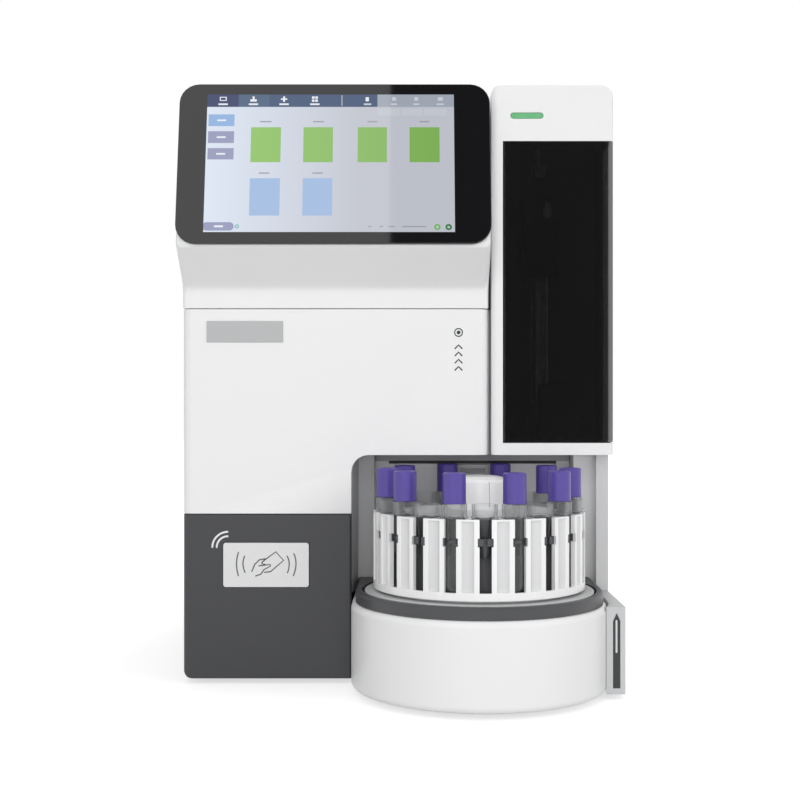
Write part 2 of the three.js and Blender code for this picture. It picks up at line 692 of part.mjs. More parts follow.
// What the window leaves open: the front from its left edge, round the corner and back along the side
function windowOpening() {
  const kneeY = knuckleY + pane.knuckle + running;
  const room = block(paneLeft, right + overrun, frontY - overrun, kneeY, paneBottom, paneTop);
  const innerX = right - unit.wall;
  const rebate = block(
    innerX - 2 * pane.knuckle, right + overrun, knuckleY - pane.knuckle * 3, kneeY, paneBottom, paneTop,
  );
  const sockets = post(
    pane.pinRadius + fit, knuckleX, knuckleY, paneBottom - door.socket, paneTop + door.socket, facets.small,
  );
  return join(room, rebate, sockets);
}

function makeTowerWindow() {
  const x0 = paneLeft + seam;
  const thick = pane.thickness;
  const plan = outline([
    [x0, frontY, pane.rebate], [right, frontY, pane.cornerRadius], [right, knuckleY],
    [right - thick, knuckleY], [right - thick, frontY + thick, pane.cornerRadius - thick + pane.rebate],
    [x0, frontY + thick],
  ]);
  const z0 = paneBottom + seam;
  const z1 = paneTop - seam;
  const knuckle = post(pane.knuckle, knuckleX, knuckleY, z0, z1, facets.rod);
  const bore = post(pane.pinRadius + fit, knuckleX, knuckleY, z0 - overrun, z1 + overrun, facets.small);
  return cut(join(raised(plan, z0, z1), knuckle), bore);
}

function makeWindowHingePin() {
  return post(
    pane.pinRadius, knuckleX, knuckleY, paneBottom - door.socket + fit, paneTop + door.socket - fit, facets.small,
  );
}

function lightOutline(clearance) {
  const x = towerLeft + light.inset;
  const z = unit.height - light.drop;
  const halfWidth = light.width / 2 + clearance;
  const halfHeight = light.height / 2 + clearance;
  return outline(rectangle(x - halfWidth, x + halfWidth, z - halfHeight, z + halfHeight, halfHeight), facets.wide);
}

function makeStatusLight() {
  return deepened(lightOutline(0), frontY, frontY + light.depth);
}

function makeGuideRail() {
  const x = carriageX;
  const half = rail.width / 2;
  const waist = rail.width / 3;
  const depth = rail.depth;
  const y1 = webFront - fit;
  const plan = outline([
    [x - half, y1 - depth], [x + half, y1 - depth], [x + half, y1 - depth * 2 / 3], [x + waist, y1 - depth / 2],
    [x + waist, y1 - depth / 3], [x + half, y1 - depth / 6], [x + half, y1], [x - half, y1],
    [x - half, y1 - depth / 6], [x - waist, y1 - depth / 3], [x - waist, y1 - depth / 2],
    [x - half, y1 - depth * 2 / 3],
  ]);
  return raised(plan, bearingTop + rail.clearBottom, shelfBottom - rail.clearTop);
}

function makeNeedleCarriage() {
  const x0 = carriageX - carriage.width / 2;
  const x1 = carriageX + carriage.width / 2;
  const y1 = webFront - running;
  const lowerPlan = outline(rectangle(x0, x1, y1 - carriage.reach, y1, carriage.cornerRadius));
  const lower = raised(lowerPlan, carriageBottom, carriageTop);
  const shift = carriage.upperShift;
  const upperPlan = outline(rectangle(x0 + shift, x1 + shift, y1 - carriage.upperReach, y1, carriage.cornerRadius));
  const upper = raised(upperPlan, carriageTop - overrun, carriageTop + carriage.upperHeight);
  const low = carriageBottom - overrun;
  const high = carriageTop + carriage.upperHeight + overrun;
  const half = rail.width / 2 + running;
  const channelFront = webFront - rail.depth - fit - running;
  const channel = block(carriageX - half, carriageX + half, channelFront, y1 + overrun, low, high);
  const screwBore = post(screw.radius + running, screwX, screwY, low, high);
  const needleBore = post(needle.radius + fit, needleX, needleY, low, high, facets.small);
  return cut(join(lower, upper), channel, screwBore, needleBore);
}

function makeSamplingNeedle() {
  const seat = carriageTop + fit;
  const hubTop = seat + needle.hubHeight;
  return turned([
    [0, needleTip], [needle.radius, needleTip + needle.tipLength], [needle.radius, seat],
    [needle.hubRadius, seat], [needle.hubRadius, hubTop], [needle.radius * 2, hubTop],
    [needle.radius * 2, hubTop + needle.tipLength], [0, hubTop + needle.tipLength],
  ], facets.small);
}

function makeLeadScrew() {
  return turned([
    [0, bearingBottom + tower.web + fit], [screw.radius, bearingBottom + tower.web + fit],
    [screw.radius, shelfTop], [0, shelfTop],
  ], facets.small);
}

function makeLiftMotor() {
  const half = lift.width / 2;
  const plan = outline(
    rectangle(screwX - half, screwX + half, screwY - half, screwY + half, lift.cornerRadius), facets.wide,
  );
  return raised(plan, shelfTop + fit, shelfTop + fit + lift.height);
}

function makeWashStation() {
  const x0 = needleX + wash.shift - wash.width / 2;
  const y0 = needleY - wash.depth / 2;
  const z0 = towerFloor + fit;
  const z1 = z0 + wash.height;
  const front = outline([
    [x0, z0], [x0 + wash.width, z0], [x0 + wash.width, z1, wash.chamfer], [x0, z1, wash.chamfer],
  ], facets.wide);
  const y1 = screwY - tower.bearingWidth / 2 - fit;
  const body = deepened(front, y0, Math.min(y0 + wash.depth, y1));
  const nipple = bar(
    wash.nipple, needleY, z0 + wash.height / 2, x0 + wash.width - wash.chamfer, x0 + wash.width + wash.nippleLength,
    facets.small,
  );
  return cut(join(body, nipple), post(wash.boreRadius, needleX, needleY, z0 - overrun, z1 + overrun, facets.small));
}

// Carousel bay
function makeBayLiner() {
  const x0 = cabinetInner + fit;
  const x1 = bayRight;
  const innerRight = bayRight - bay.rightWall;
  const innerLeft = cabinetRight + fit;
  const wallBack = bayBack + bay.backWall;
  const plan = outline([
    [x0, panelFront], [innerLeft + bay.draft, panelFront], [innerRight, panelFront], [x1, panelFront],
    [x1, wallBack], [x0, wallBack],
  ]);
  const recessLeft = axisX - bay.recessHalfWidth;
  const recessRight = axisX + bay.recessHalfWidth;
  const room = outline([
    [innerLeft - bay.draft, panelFront - overrun], [innerRight, panelFront - overrun], [innerRight, baySide],
    [recessRight, baySide], [recessRight, bayBack], [recessLeft, bayBack], [recessLeft, baySide],
    [innerLeft + bay.draft, baySide], [innerLeft, panelFront],
  ]);
  const roof = bay.roofHeight - fit;
  const cavity = raised(room, drumTop - overrun, roof + overrun).intersect(
    deepened(outline([
      [x0, 0], [x1, 0], [x1, roof + overrun], [innerLeft + bay.cornerRadius * 2, roof + overrun],
      [innerLeft + bay.cornerRadius * 2, roof], [innerLeft, roof, bay.cornerRadius], [innerLeft, bay.roofHeight / 2],
      [x0, bay.roofHeight / 2],
    ]), frontY - overrun, wallBack),
  );
  const opened = join(
    cavity,
    block(innerLeft + bay.cornerRadius, innerRight, panelFront - overrun, baySide, baseTop, roof + overrun),
    block(recessLeft, recessRight, panelFront, bayBack, baseTop, roof + overrun),
  );
  const beforeSide = block(innerRight - overrun / 2, right, panelFront - overrun, bayFront, 0, unit.height);
  return cut(raised(plan, drumTop + fit, roof), opened, beforeSide);
}

function makeBayHeader() {
  const x0 = axisX - bay.recessHalfWidth + fit;
  const x1 = axisX + bay.recessHalfWidth - fit;
  const y1 = bayBack - fit;
  const top = bay.roofHeight - 2 * fit;
  const beam = block(x0, x1, y1 - header.depth, y1, top - header.height, top);
  const lip = block(
    x0 + header.lipInset, x1 - header.lipInset, y1 - header.depth, y1 - header.depth / 2,
    top - header.height - header.lip, top - header.height / 2,
  );
  return join(beam, lip);
}

function makeBarcodeScanner() {
  const half = scanner.width / 2;
  const y1 = bayBack - fit;
  const y0 = y1 - scanner.depth;
  const top = bay.roofHeight - scanner.drop;
  const body = deepened(
    outline(rectangle(axisX - half, axisX + half, top - scanner.height, top, scanner.windowDepth)), y0, y1,
  );
  const inset = scanner.windowInset;
  const middle = top - scanner.height / 2;
  const window = block(
    axisX - half + inset, axisX + half - inset, y0 - overrun, y0 + scanner.windowDepth,
    middle - scanner.windowHeight / 2, middle + scanner.windowHeight / 2,
  );
  return cut(body, window);
}

// Carousel drum
function makeDrumShell() {
  const backY = bayBack;
  const rounded = new THREE.ExtrudeGeometry(drumOutline(drum.radius, backY + overrun), {
    depth: drum.height - 2 * drum.shoulder, bevelThickness: drum.shoulder, bevelSize: drum.shoulder,
    bevelOffset: -drum.shoulder, bevelSegments: 2,
  });
  const outer = solid(rounded.translate(0, 0, foot.height + drum.shoulder)).intersect(
    block(left, right, drumFront - overrun, backY, 0, unit.height),
  );
  const inner = raised(
    drumOutline(drum.radius - drum.wall, backY - drum.wall), foot.height + drum.wall, drumTop - drum.wall,
  );
  const mouth = post(
    drum.mouthRadius, axisX, axisY, drumTop - drum.wall - overrun / 2, drumTop + overrun, facets.wheel,
  );
  const socketBottom = foot.height + drum.wall / 2;
  const socket = cut(
    post(shaft.socketRadius, axisX, axisY, socketBottom, foot.height + drum.wall + shaft.socketHeight),
    post(shaft.radius + fit, axisX, axisY, shaftBottom - fit, unit.height),
  );
  return join(cut(outer, inner, mouth), socket);
}

function makeDeckRing() {
  const z0 = drumTop + fit;
  const lower = drumOutline(deck.outerRadius, baySide - fit);
  const geometry = new THREE.ExtrudeGeometry(lower, {
    depth: deck.height - deck.draft, bevelThickness: deck.draft, bevelSize: deck.draft, bevelOffset: -deck.draft,
    bevelSegments: 1,
  });
  const plate = solid(geometry.translate(0, 0, z0)).intersect(
    block(left, right, drumFront, baySide - fit - deck.draft, z0, deckTop),
  );
  const tongueHalf = bay.recessHalfWidth - fit;
  const tongue = block(axisX - tongueHalf, axisX + tongueHalf, axisY, bayBack - fit, z0, deckTop);
  const bore = post(deck.boreRadius, axisX, axisY, z0 - overrun, deckTop + overrun, facets.tray);
  return cut(join(plate, tongue), bore);
}

function makeSidePod() {
  const top = drumTop;
  const front = axisY - pod.front;
  const plan = outline([
    [right - pod.width, front], [right, front, base.edgeRadius], [right, bayFront - fit],
    [bayRight - fit, bayFront - fit], [bayRight - fit, bayBack], [right - pod.width, bayBack],
  ]);
  const besideDrum = raised(drumOutline(drum.radius + fit, bayBack + overrun), 0, top + overrun);
  const x1 = right - pod.slotInset;
  const x0 = x1 - pod.slotWidth;
  const z0 = foot.height + pod.slotLift;
  const z1 = top - pod.slotPoint - pod.slotLift;
  const slot = outline([[x0, z0], [x1, z0], [x1, z1], [(x0 + x1) / 2, z1 + pod.slotPoint], [x0, z1]]);
  return cut(
    raised(plan, foot.height, top), besideDrum, deepened(slot, front - overrun, front + pod.slotDepth),
  );
}

// Sample carousel, drawn about its own axis
function makeTurntable() {
  const bottom = rotorTop - rotor.height;
  const bossBottom = bottom - rotor.bossHeight;
  return turned([
    [shaft.radius + fit, bossBottom], [rotor.bossRadius, bossBottom], [rotor.bossRadius, bottom],
    [rotor.radius, bottom], [rotor.radius, rotorTop], [rotor.padRadius, rotorTop],
    [rotor.padRadius, rotorTop + rotor.padHeight], [shaft.radius + fit, rotorTop + rotor.padHeight],
    [shaft.radius + fit, bossBottom],
  ], facets.wheel);
}

function makeSampleTray() {
  const ring = turned([
    [tray.boreRadius, trayBottom], [tray.radius, trayBottom], [tray.radius, trayTop], [tray.innerRadius, trayTop],
    [tray.innerRadius, trayRim], [tray.boreRadius, trayRim], [tray.boreRadius, trayBottom],
  ], facets.tray);
  const reach = tray.radius + overrun;
  const pocket = post(tray.pocketRadius, 0, -tray.circleRadius, trayFloor, trayTop + overrun, facets.pocket);
  const slotHalf = tray.slotWidth / 2;
  const slot = block(-slotHalf, slotHalf, -reach, -tray.circleRadius, trayRim, trayTop + overrun);
  const notchTop = trayTop - tray.notchDrop;
  const notchHalf = tray.notchWidth / 2;
  const notch = block(-notchHalf, notchHalf, -reach, -tray.circleRadius, notchTop - tray.notchHeight, notchTop);
  const fluteCentre = tray.radius + tray.fluteRadius - tray.fluteDepth;
  const flute = post(
    tray.fluteRadius, 0, -fluteCentre, trayRim + tray.fluteEnd, trayTop - tray.fluteEnd, facets.pocket,
  );
  const station = join(pocket, slot, notch);
  const cutters = [];
  for (let index = 0; index < tray.places; index += 1) {
    cutters.push(spun(station, index * placeAngle));
    cutters.push(spun(flute, (index + 1 / 2) * placeAngle));
  }
  return cut(ring, cutters);
}

function makeTrayHub() {
  const bottom = trayRim + fit;
  const top = bottom + hub.height;
  return turned([
    [0, bottom], [hub.radius, bottom], [hub.radius, top - hub.neckDrop],
    [hub.neckRadius, top - hub.neckDrop + hub.dome],
    [hub.neckRadius, top - hub.dome - hub.groove], [hub.neckRadius - hub.groove, top - hub.dome],
    [hub.neckRadius / 2, top - hub.dome / 4], [0, top],
  ], facets.ring);
}

function makeTubeInsertRing() {
  const z0 = trayTop + fit;
  const z1 = z0 + collar.plate;
  const inner = tray.circleRadius - collar.outerRadius - collar.plateOverhang;
  const outer = tray.radius - seam;
  const plate = turned([[inner, z0], [outer, z0], [outer, z1], [inner, z1], [inner, z0]], facets.tray);
  const rim = post(collar.outerRadius, 0, -tray.circleRadius, z0, collarTop, facets.pocket);
  const bore = post(collar.boreRadius, 0, -tray.circleRadius, z0 - overrun, collarTop + overrun, facets.pocket);
  const rims = [];
  const bores = [];
  for (let index = 0; index < tray.places; index += 1) {
    rims.push(spun(rim, index * placeAngle));
    bores.push(spun(bore, index * placeAngle));
  }
  return cut(join(plate, rims), bores);
}

// A capped tube standing on the origin of its own frame, hollow, with the needle's way through its cap
function makeSampleTube() {
  const inner = tube.radius - tube.wall;
  const capBottom = tube.length - tube.capOverlap;
  const top = capBottom + tube.capHeight;
  return turned([
    [0, 0], [tube.radius * Math.SQRT1_2, tube.radius * (1 - Math.SQRT1_2)], [tube.radius, tube.radius],
    [tube.radius, capBottom], [tube.capRadius, capBottom], [tube.capRadius, top - tube.crown],
    [tube.capRadius - tube.crown, top], [tube.septumRadius, top], [tube.septumRadius, tube.length],
    [inner, tube.length], [inner, tube.radius], [0, tube.wall],
  ], facets.tube);
}

function makeCarouselShaft() {
  return turned([[0, shaftBottom], [shaft.radius, shaftBottom], [shaft.radius, trayRim - fit], [0, trayRim - fit]]);
}

// The outline of a spur gear with straight-sided teeth
const toothShares = { tip: 0.24, root: 0.66, addendum: 0.9, dedendum: 1.25 };
function gearOutline(teeth, phase) {
  const pitch = (gear.module * teeth) / 2;
  const outer = pitch + toothShares.addendum * gear.module;
  const inner = pitch - toothShares.dedendum * gear.module;
  const toothAngle = (2 * Math.PI) / teeth;
  const points = [];
  for (let index = 0; index < teeth; index += 1) {
    const middle = phase + index * toothAngle;
    const steps = [
      [inner, -toothShares.root], [outer, -toothShares.tip], [outer, toothShares.tip], [inner, toothShares.root],
    ];
    steps.forEach(([radius, share]) => {
      const angle = middle + (share * toothAngle) / 2;
      points.push(new THREE.Vector2(radius * Math.cos(angle), radius * Math.sin(angle)));
    });
  }
  return new THREE.Shape(points);
}

function makeDriveGear() {
  const wheel = raised(gearOutline(gear.teeth, pinionAngle), gearBottom, gearBottom + gear.width);
  const boss = post(gear.hubRadius, 0, 0, gearBottom - gear.width, gearBottom + gear.width);
  return cut(join(wheel, boss), post(shaft.radius + fit, 0, 0, 0, unit.height));
}

function makeDrivePinion() {
  const toothAngle = (2 * Math.PI) / gear.pinionTeeth;
  const facing = pinionAngle + Math.PI + toothAngle / 2;
  const wheel = raised(gearOutline(gear.pinionTeeth, facing), gearBottom, gearBottom + gear.width);
  const stub = post(motor.shaftRadius, 0, 0, motorTop - motor.shaftDepth, gearBottom + gear.width / 2, facets.small);
  return join(wheel, stub);
}

function makeCarouselMotor() {
  const half = motor.width / 2;
  const plan = outline(
    rectangle(pinionX - half, pinionX + half, pinionY - half, pinionY + half, motor.cornerRadius), facets.wide,
  );
  const boss = post(motor.width / 4, pinionX, pinionY, motorTop - motor.flange, motorTop + motor.flange);
  const bore = post(
    motor.shaftRadius + fit, pinionX, pinionY, motorTop - motor.shaftDepth - fit, unit.height, facets.small,
  );
  return cut(join(raised(plan, motorTop - motor.height, motorTop), boss), bore);
}

// Rear panel fittings
function inletOutline(width, height, clearance) {
  const x = left + inlet.shift;
  const z = baseTop + inlet.lift + inlet.height / 2;
  const halfWidth = width / 2 + clearance;
  const halfHeight = height / 2 + clearance;
  return outline(rectangle(x - halfWidth, x + halfWidth, z - halfHeight, z + halfHeight, inlet.radius), facets.wide);
}

function switchMiddle() {
  return baseTop + inlet.lift + inlet.height - inlet.socketLift - inlet.switchHeight / 2;
}

function makePowerInlet() {
  const x = left + inlet.shift;
  const face = panelBack + fit + inlet.flange;
  const flange = deepened(inletOutline(inlet.width, inlet.height, 0), panelBack + fit, face);
  const body = deepened(
    inletOutline(inlet.bodyWidth, inlet.bodyHeight, 0), panelBack - inlet.bodyDepth, face - inlet.flange / 2,
  );
  const z0 = baseTop + inlet.lift + inlet.socketLift;
  const shoulder = z0 + (inlet.socketHeight * 3) / 4;
  const z1 = z0 + inlet.socketHeight;
  const wide = inlet.socketWidth / 2;
  const narrow = inlet.socketWidth / 3;
  const socket = deepened(
    outline([
      [x - wide, z0, inlet.radius], [x + wide, z0, inlet.radius], [x + wide, shoulder], [x + narrow, z1],
      [x - narrow, z1], [x - wide, shoulder],
    ], facets.wide),
    face - inlet.socketDepth, face + overrun,
  );
  const middle = switchMiddle();
  const well = block(
    x - inlet.switchWidth / 2, x + inlet.switchWidth / 2, face - inlet.socketDepth, face + overrun,
    middle - inlet.switchHeight / 2, middle + inlet.switchHeight / 2,
  );
  return cut(join(flange, body), socket, well);
}

// The rocker turns about an axle that runs across, behind the inlet's face
function makePowerSwitch() {
  const halfHeight = inlet.switchHeight / 2 - running - rocker.swell / 2;
  const side = outline([
    [-rocker.thickness, -halfHeight], [-rocker.thickness / 2, -halfHeight], [rocker.pivotDepth, -halfHeight],
    [rocker.pivotDepth / 2, 0], [rocker.pivotDepth, halfHeight], [-rocker.thickness, halfHeight],
  ]);
  const halfWidth = inlet.switchWidth / 2 - running;
  return crossed(side, -halfWidth, halfWidth);
}

function portsOutline(clearance) {
  const x = portsX;
  const z = baseTop + ports.lift;
  const halfWidth = ports.width / 2 - ports.margin + clearance;
  const halfHeight = ports.height / 2 - ports.margin + clearance;
  return outline(rectangle(x - halfWidth, x + halfWidth, z - halfHeight, z + halfHeight));
}

function makeDataPorts() {
  const x = portsX;
  const z = baseTop + ports.lift;
  const face = panelBack + fit + ports.flange;
  const flange = deepened(
    outline(rectangle(
      x - ports.width / 2, x + ports.width / 2, z - ports.height / 2, z + ports.height / 2, inlet.radius,
    ), facets.wide),
    panelBack + fit, face,
  );
  const body = deepened(portsOutline(0), panelBack - ports.depth, face - ports.flange / 2);
  const sockets = [
    [-ports.width / 4, ports.netWidth, ports.netHeight],
    [0, ports.usbWidth, ports.usbHeight],
    [ports.width / 4, ports.usbWidth, ports.usbHeight],
  ];
  const holes = sockets.map(([shift, width, height]) => block(
    x + shift - width / 2, x + shift + width / 2, face - ports.socketDepth, face + overrun, z - height / 2,
    z + height / 2,
  ));
  return cut(join(flange, body), holes);
}

function makeWasteFitting() {
  const face = panelBack + fit;
  const profile = [
    [fitting.boreRadius, -fitting.stem], [fitting.barbRadius, -fitting.stem], [fitting.barbRadius, 0],
    [fitting.radius, 0], [fitting.radius, fitting.flange], [fitting.barbRadius, fitting.flange],
    [fitting.barbRadius, fitting.barbLength * 2 / 3], [fitting.boreRadius * 3 / 2, fitting.barbLength],
    [fitting.boreRadius, fitting.barbLength], [fitting.boreRadius, -fitting.stem],
  ];
  const points = profile.map(([radius, z]) => new THREE.Vector2(radius, z));
  return solid(new THREE.LatheGeometry(points, facets.rod).translate(fittingX, face, fitting.lift));
}

function makeFanGuard() {
  const y0 = panelBack + fit;
  const y1 = y0 + fan.guard;
  const half = fan.guardWidth / 2;
  const frameOutline = outline(
    rectangle(fanX - half, fanX + half, fan.lift - half, fan.lift + half, fan.cornerRadius), facets.wide,
  );
  const plate = deepened(frameOutline, y0, y1);
  const opening = spindle(fan.radius, fanX, fan.lift, y0 - overrun, y1 + overrun, facets.ring);
  const spokes = [
    block(fanX - half, fanX + half, y0, y1, fan.lift - fan.spoke / 2, fan.lift + fan.spoke / 2),
    block(fanX - fan.spoke / 2, fanX + fan.spoke / 2, y0, y1, fan.lift - half, fan.lift + half),
    spindle(fan.hubRadius, fanX, fan.lift, y0, y1),
    spindle(fan.pinRadius, fanX, fan.lift, y0 - fan.pinLength, y1, facets.small),
  ];
  for (let index = 1; index <= fan.rings; index += 1) {
    const radius = fan.hubRadius + ((fan.radius - fan.hubRadius) * index) / (fan.rings + 1);
    spokes.push(cut(
      spindle(radius + fan.ringWidth / 2, fanX, fan.lift, y0, y1, facets.ring),
      spindle(radius - fan.ringWidth / 2, fanX, fan.lift, y0 - overrun, y1 + overrun, facets.ring),
    ));
  }
  return join(cut(plate, opening), spokes);
}

// The fan's rotor, drawn about its own axis, which runs along Y
function makeFanRotor() {
  const y1 = -running;
  const y0 = y1 - fan.depth;
  const boss = spindle(fan.hubRadius, 0, 0, y0, y1);
  const reach = fan.radius - 2 * running;
  const blades = [];
  for (let index = 0; index < fan.blades; index += 1) {
    const geometry = new THREE.BoxGeometry(fan.bladeThick, fan.depth * fan.chordShare, reach);
    geometry.translate(0, 0, reach / 2);
    geometry.rotateZ(fan.pitch);
    geometry.translate(0, (y0 + y1) / 2, 0);
    geometry.rotateY((2 * Math.PI * index) / fan.blades);
    blades.push(solid(geometry));
  }
  const hole = spindle(fan.pinRadius + fit, 0, 0, y0 - overrun, y1 + overrun, facets.small);
  return cut(join(boss, blades), hole);
}

// Materials: colour, roughness and metalness
const finish = (color, roughness, metalness = 0, more = {}) => (
  new THREE.MeshStandardMaterial({ color, roughness, metalness, ...more })
);
const finishes = {
  white: finish('#e9e9e9', 0.42),
  lightGrey: finish('#c9cbcc', 0.5),
  darkGrey: finish('#4a4d50', 0.5),
  black: finish('#17181a', 0.5),
  blackGlass: finish('#0d0d0f', 0.08),
  smoked: finish('#18181a', 0.08, 0, { transparent: true, opacity: 0.85 }),
  screen: finish('#dfe4f0', 0.3),
  clear: finish('#cfd8dc', 0.1, 0, { transparent: true, opacity: 0.5 }),
  purple: finish('#5d4f9e', 0.5),
  green: finish('#6bbd83', 0.3),
  rubber: finish('#202122', 0.9),
  steel: finish('#c4c7c9', 0.3, 1),
  aluminium: finish('#b5b9bc', 0.4, 1),
  brass: finish('#b9975b', 0.35, 1),
};

// The assembly
const analyzer = new THREE.Group();

function place(parent, name, body, material) {
  const mesh = new THREE.Mesh(surface(body), material);
  mesh.name = name;
  parent.add(mesh);
  return mesh;
}

// What stands still on the cabinet
place(analyzer, 'base_cabinet', makeBaseCabinet(), finishes.darkGrey);
place(analyzer, 'card_reader_window', makeCardReaderWindow(), finishes.lightGrey);
place(analyzer, 'base_plate', makeBasePlate(), finishes.steel);
place(analyzer, 'main_cover', makeMainCover(), finishes.white);
place(analyzer, 'rear_panel', makeRearPanel(), finishes.lightGrey);
place(analyzer, 'module_frame', makeModuleFrame(), finishes.lightGrey);
place(analyzer, 'column_oven', makeColumnOven(), finishes.aluminium);
place(analyzer, 'column', makeColumn(), finishes.steel);
place(analyzer, 'injection_valve', makeInjectionValve(), finishes.darkGrey);
place(analyzer, 'pump_head', makePumpHead(), finishes.steel);
place(analyzer, 'door_hinge_pin', makeDoorHingePin(), finishes.steel);
place(analyzer, 'display_head', makeDisplayHead(), finishes.white);
place(analyzer, 'tower_housing', makeTowerHousing(), finishes.white);
place(analyzer, 'window_hinge_pin', makeWindowHingePin(), finishes.steel);
place(analyzer, 'status_light', makeStatusLight(), finishes.green);
place(analyzer, 'guide_rail', makeGuideRail(), finishes.steel);
place(analyzer, 'lift_motor', makeLiftMotor(), finishes.black);
place(analyzer, 'wash_station', makeWashStation(), finishes.black);
place(analyzer, 'bay_liner', makeBayLiner(), finishes.lightGrey);
place(analyzer, 'bay_header', makeBayHeader(), finishes.darkGrey);
place(analyzer, 'barcode_scanner', makeBarcodeScanner(), finishes.lightGrey);
place(analyzer, 'drum_shell', makeDrumShell(), finishes.white);
place(analyzer, 'deck_ring', makeDeckRing(), finishes.darkGrey);
place(analyzer, 'side_pod', makeSidePod(), finishes.white);
place(analyzer, 'carousel_motor', makeCarouselMotor(), finishes.black);
place(analyzer, 'power_inlet', makePowerInlet(), finishes.black);
place(analyzer, 'data_ports', makeDataPorts(), finishes.black);
place(analyzer, 'waste_fitting', makeWasteFitting(), finishes.brass);
place(analyzer, 'fan_guard', makeFanGuard(), finishes.black);

// Display glass and panel, in the leaning plane of the head's front
const display = new THREE.Group();
display.position.set(glassMiddle, glassBottomY, glassBottom);
display.rotation.x = -glass.tilt;
analyzer.add(display);
place(display, 'display_glass', makeDisplayGlass(), finishes.blackGlass);
place(display, 'lcd_panel', makeLcdPanel(), finishes.screen);

// Feet under the cabinet's corners and under the drum
const footPlaces = [
  ['foot_front_left', left + foot.inset, frontY + foot.inset],
  ['foot_front_right', axisX, drumFront + foot.drumSetback],
  ['foot_rear_left', left + foot.inset, rear - foot.inset],
  ['foot_rear_right', right - foot.inset, rear - foot.inset - back.setIn],
];
footPlaces.forEach(([name, x, y]) => {
  place(analyzer, name, makeFoot(), finishes.rubber).position.set(x, y, 0);
});

// Front door with its latch, and the tower's window
place(analyzer, 'front_door', makeFrontDoor(), finishes.white);
place(analyzer, 'latch_plunger', makeLatchPlunger(), finishes.darkGrey);
place(analyzer, 'tower_window', makeTowerWindow(), finishes.smoked);

// Needle lift
place(analyzer, 'needle_carriage', makeNeedleCarriage(), finishes.black);
place(analyzer, 'sampling_needle', makeSamplingNeedle(), finishes.steel).position.set(needleX, needleY, 0);
place(analyzer, 'lead_screw', makeLeadScrew(), finishes.steel).position.set(screwX, screwY, 0);

// Carousel, about the drum's axis
const carousel = new THREE.Group();
carousel.position.set(axisX, axisY, 0);
analyzer.add(carousel);
place(carousel, 'turntable', makeTurntable(), finishes.lightGrey);
place(carousel, 'sample_tray', makeSampleTray(), finishes.white);
place(carousel, 'tray_hub', makeTrayHub(), finishes.white);
place(carousel, 'tube_insert_ring', makeTubeInsertRing(), finishes.clear);
place(carousel, 'carousel_shaft', makeCarouselShaft(), finishes.steel);
place(carousel, 'drive_gear', makeDriveGear(), finishes.lightGrey);
for (let index = 0; index < tube.count; index += 1) {
  const arm = new THREE.Group();
  arm.rotation.z = (2 * index + 1) * placeAngle;
  carousel.add(arm);
  const name = `sample_tube_${String(index + 1).padStart(2, '0')}`;
  place(arm, name, makeSampleTube(), finishes.purple).position.set(0, -tray.circleRadius, tubeBottom);
}
place(analyzer, 'drive_pinion', makeDrivePinion(), finishes.brass).position.set(pinionX, pinionY, 0);

// Power switch and fan rotor
const switchMesh = place(analyzer, 'power_switch', makePowerSwitch(), finishes.black);
switchMesh.position.set(left + inlet.shift, panelBack + fit + inlet.flange - rocker.pivotDepth, switchMiddle());
switchMesh.rotation.x = rocker.tilt;
place(analyzer, 'fan_rotor', makeFanRotor(), finishes.black).position.set(fanX, panelBack + fit, fan.lift);

export default analyzer;
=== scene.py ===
# A benchtop glycohemoglobin analyzer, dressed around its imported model. +Z is up and the front faces -Y.
# Pieces are modelled in millimetres and scaled to metres when they are finished.
import json
import math

import bpy
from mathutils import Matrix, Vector

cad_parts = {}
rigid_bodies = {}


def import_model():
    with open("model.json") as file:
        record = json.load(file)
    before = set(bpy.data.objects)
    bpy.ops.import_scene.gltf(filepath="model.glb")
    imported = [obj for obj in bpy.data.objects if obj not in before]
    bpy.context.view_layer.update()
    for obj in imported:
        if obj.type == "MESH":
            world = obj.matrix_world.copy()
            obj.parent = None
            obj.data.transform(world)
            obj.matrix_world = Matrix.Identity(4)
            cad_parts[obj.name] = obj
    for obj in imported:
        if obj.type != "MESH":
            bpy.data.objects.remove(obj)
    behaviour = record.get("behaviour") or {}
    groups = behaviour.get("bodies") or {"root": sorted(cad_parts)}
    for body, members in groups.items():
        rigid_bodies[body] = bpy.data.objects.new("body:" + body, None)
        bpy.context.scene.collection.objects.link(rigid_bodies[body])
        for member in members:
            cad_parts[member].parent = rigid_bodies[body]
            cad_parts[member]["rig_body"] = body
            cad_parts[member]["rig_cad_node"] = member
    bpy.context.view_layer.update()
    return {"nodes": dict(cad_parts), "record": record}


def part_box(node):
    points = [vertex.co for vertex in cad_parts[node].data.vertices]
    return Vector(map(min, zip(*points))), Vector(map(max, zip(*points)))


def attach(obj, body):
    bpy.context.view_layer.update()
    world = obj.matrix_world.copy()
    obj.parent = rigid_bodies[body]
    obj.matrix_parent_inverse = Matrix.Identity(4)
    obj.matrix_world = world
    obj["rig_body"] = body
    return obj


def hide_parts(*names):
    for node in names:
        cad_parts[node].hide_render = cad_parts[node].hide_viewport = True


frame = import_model()
mm = 0.001
behaviour = frame["record"]["behaviour"]
bodyOf = {node: body for body, nodes in behaviour["bodies"].items() for node in nodes}


def box(node):
    # lowest and highest corner of a node, in millimetres
    low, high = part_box(node)
    return low / mm, high / mm


def middle(node):
    low, high = box(node)
    return (low + high) / 2


carouselAxis = middle("sample_tray")
carouselAxis.z = 0
print("frame loaded:", len(frame["nodes"]), "nodes")

# Camera: level and square to the front, at the photograph's distance
cameraPlan = {"focalPixels": 1300, "imagePixels": 800, "sensor": 36, "place": (1.45, -1099.4, 217.7)}


